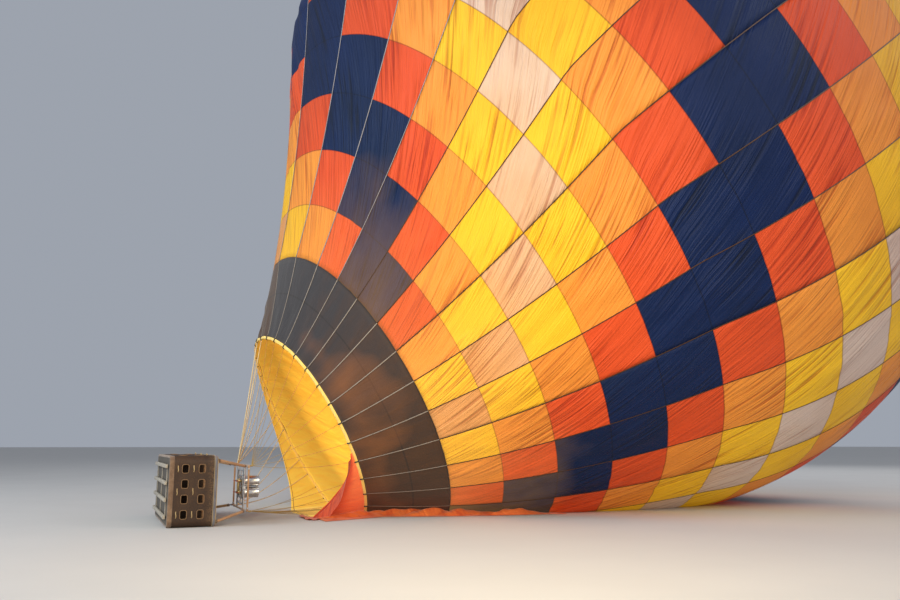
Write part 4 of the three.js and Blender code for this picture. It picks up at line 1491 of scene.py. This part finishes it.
gimbal = {
    "halfY": 0.46,
    "halfZ": 0.43,
    "corner": 0.045,
    "tube": 0.0195,
    "pinEnd": 0.54,
    "sleeve": 0.0245,
}


def makeGimbal():
    bm = bmesh.new()
    y = gimbal["halfY"]
    sweep(bm, roundedLoop(y, gimbal["halfZ"], gimbal["corner"]), gimbal["tube"], 14, closed=True)
    for turn in (-1, 1):
        sweep(bm, [(0, turn * y, 0), (0, turn * gimbal["pinEnd"], 0)], loadFrame["pin"], 16)
        sweep(bm, [(0, turn * (y + 0.018), 0), (0, turn * (y + 0.025), 0)], 0.024, 16)
        sleeve = [(0, along, turn * gimbal["halfZ"]) for along in (-0.03, -0.026, 0.026, 0.03)]
        sweep(bm, sleeve, gimbal["sleeve"], 14)
    makePiece("gimbal_tubes", bm, "steel", "gimbal", "frame_steel", "gimbal_ring")


burner = {
    "half": 0.29,
    "corner": 0.04,
    "tube": 0.0195,
    "pinEnd": 0.45,
    "can": 0.14,
    "length": 0.42,
    "base": 0.0203,
    "offset": 0.15,
    # the outline, as how far along from the foot or back from the mouth, and the part of the radius
    "foot": ((0.0, 0.0), (0.0, 0.93), (0.006, 0.985), (0.016, 0.985), (0.02, 0.97), (0.10, 0.97),
             (0.104, 0.99), (0.116, 0.99), (0.12, 0.97)),
    "mouth": ((0.03, 0.97), (0.024, 0.985), (0.012, 0.985), (0.006, 0.995), (0.002, 0.995),
              (0.0, 0.985), (0.002, 0.965), (0.02, 0.945)),
    "inside": ((0.012, 0.945), (0.012, 0.0)),
    "coilRadius": 0.108,
    "coilTube": 0.0075,
    "coilTurns": 7,
    "jet": 0.05,
    "jets": 8,
    "lever": ((-0.080, 0.030), (-0.088, 0.055), (-0.120, 0.085), (-0.185, 0.098)),
    "hose": ((-0.130, 0), (-0.150, 0), (-0.166, 0.016), (-0.166, 0.06), (-0.150, 0.10),
             (-0.110, 0.118), (-0.06, 0.120)),
}


def makeBlock():
    bm = bmesh.new()
    half = burner["half"]
    tube = burner["tube"]
    sweep(bm, roundedLoop(half, half, burner["corner"]), tube, 14, closed=True)
    sweep(bm, [(0, 0, -half), (0, 0, half)], tube, 14)
    sweep(bm, [(0, -half, 0), (0, half, 0)], tube, 14)
    for turn in (-1, 1):
        sweep(bm, [(0, 0, turn * half), (0, 0, turn * burner["pinEnd"])], loadFrame["pin"], 16)
    makePiece("block_tubes", bm, "steel", "burners", "frame_steel", "burner_block")


def makeCan(number, place):
    r = burner["can"]
    wall = [(along, r * part) for along, part in burner["foot"]]
    wall += [(burner["length"] - along, r * part) for along, part in burner["mouth"]]
    wall += [(along, r * part) for along, part in burner["inside"]]
    bm = bmesh.new()
    turned(bm, wall, place, 36)
    makePiece(f"can_{number}", bm, "burner", "burners", "burner_steel", f"burner_can_{number}")


# the vaporising coil with its two ends, and the jet ring inside the can
def addCoil(bm, place):
    tube = burner["coilTube"]
    steps = burner["coilTurns"] * 16
    path = []
    for i in range(steps + 1):
        t = i / steps
        a = 2 * pi * burner["coilTurns"] * t
        size = burner["coilRadius"] * (1 - 0.10 * t)
        path.append(place + Vector((0.10 + 0.27 * t, size * cos(a), size * sin(a))))
    sweep(bm, path, tube, 7)
    sweepFrom(bm, path[0], ((0, 0, 0), (-0.09, 0, 0)), tube, 7)
    sweep(bm, [path[-1], path[-1] + Vector((0, -0.02, 0)), place + Vector((0.30, 0.062, 0)),
               place + Vector((0.02, 0.062, 0))], tube, 7)
    sweep(bm, circle(place + Vector((0.055, 0, 0)), burner["jet"], 24), 0.008, 8, closed=True)
    for spot in circle(place + Vector((0.060, 0, 0)), burner["jet"], burner["jets"]):
        sweepFrom(bm, spot, ((0, 0, 0), (0.012, 0, 0)), 0.004, 6)
    sweepFrom(bm, place, ((0.012, 0, 0), (0.070, 0, 0)), 0.014, 10)


# the valve block under a can, with its stem, inlet and outlet
def addValve(bm, place, turnZ):
    roundedBox(bm, place + Vector((-0.115, -0.034, -0.030)),
               place + Vector((-0.043, 0.034, 0.030)), 0.006)
    sweepFrom(bm, place, ((-0.045, 0, 0), (0.002, 0, 0)), 0.020, 12)
    sweepFrom(bm, place, ((-0.080, 0, turnZ * 0.028), (-0.080, 0, turnZ * 0.058)), 0.012, 12)
    sweepFrom(bm, place, ((-0.115, 0, 0), (-0.135, 0, 0)), 0.011, 10)


def makeBurners():
    makeBlock()
    valves, levers, coils, hoses = (bmesh.new() for _ in range(4))
    for number, (turnY, turnZ) in enumerate(((-1, 1), (-1, -1), (1, 1), (1, -1)), 1):
        place = Vector((burner["base"], turnY * burner["offset"], turnZ * burner["offset"]))
        makeCan(number, place)
        addCoil(coils, place)
        addValve(valves, place, turnZ)
        sweepFrom(levers, place, [(x, turnY * y, 0) for x, y in burner["lever"]],
                  lambda t: 0.0065 + 0.006 * min(1, max(0, t * 3 - 1.6)), 10)
        sweepFrom(hoses, place, [(x, -turnY * y, 0) for x, y in burner["hose"]], 0.0085, 10)
    # the manifold between the valve blocks
    roundedBox(valves, (-0.10, -0.055, -0.19), (-0.045, 0.055, 0.19), 0.010)
    makePiece("burner_coils", coils, "coil", "burners", "burner_steel")
    makePiece("burner_valves", valves, "brass", "burners", "burner_steel")
    makePiece("burner_levers", levers, "redKnob", "burners", "frame_steel")
    makePiece("burner_hoses", hoses, "black", "burners", "frame_steel")


padding += [*makeUprights(), makeFrame()]
makeGimbal()
makeBurners()
print("frame and burners made")

for name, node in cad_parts.items():
    for prefix, finish in (("crown_tapes", "webbing"), ("basket_floor", "floorWood")):
        if name.startswith(prefix):
            node.data.materials.clear()
            node.data.materials.append(finishes[finish])
print("carried nodes finished")

# how each cloth was cut, in metres
sheets = (
    (liningPiece, (5.1, 11.7), 33.6, "hung", []),
    (scoopPiece, (2.4, 13.4), 11.1, "hung", []),
    (apronPiece, (0.95, 7.6), 5.3, "laid", ["floor"]),
    (flapPiece, (0.85, 3.4), 1.0, "draped", [scoopPiece]),
    (ventPiece, (7.85, 7.85), 48.2, "stretched", []),
)
for piece, flat, area, held, under in sheets:
    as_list(under)
print("soft pieces declared:", len(sheets) + len(padding))
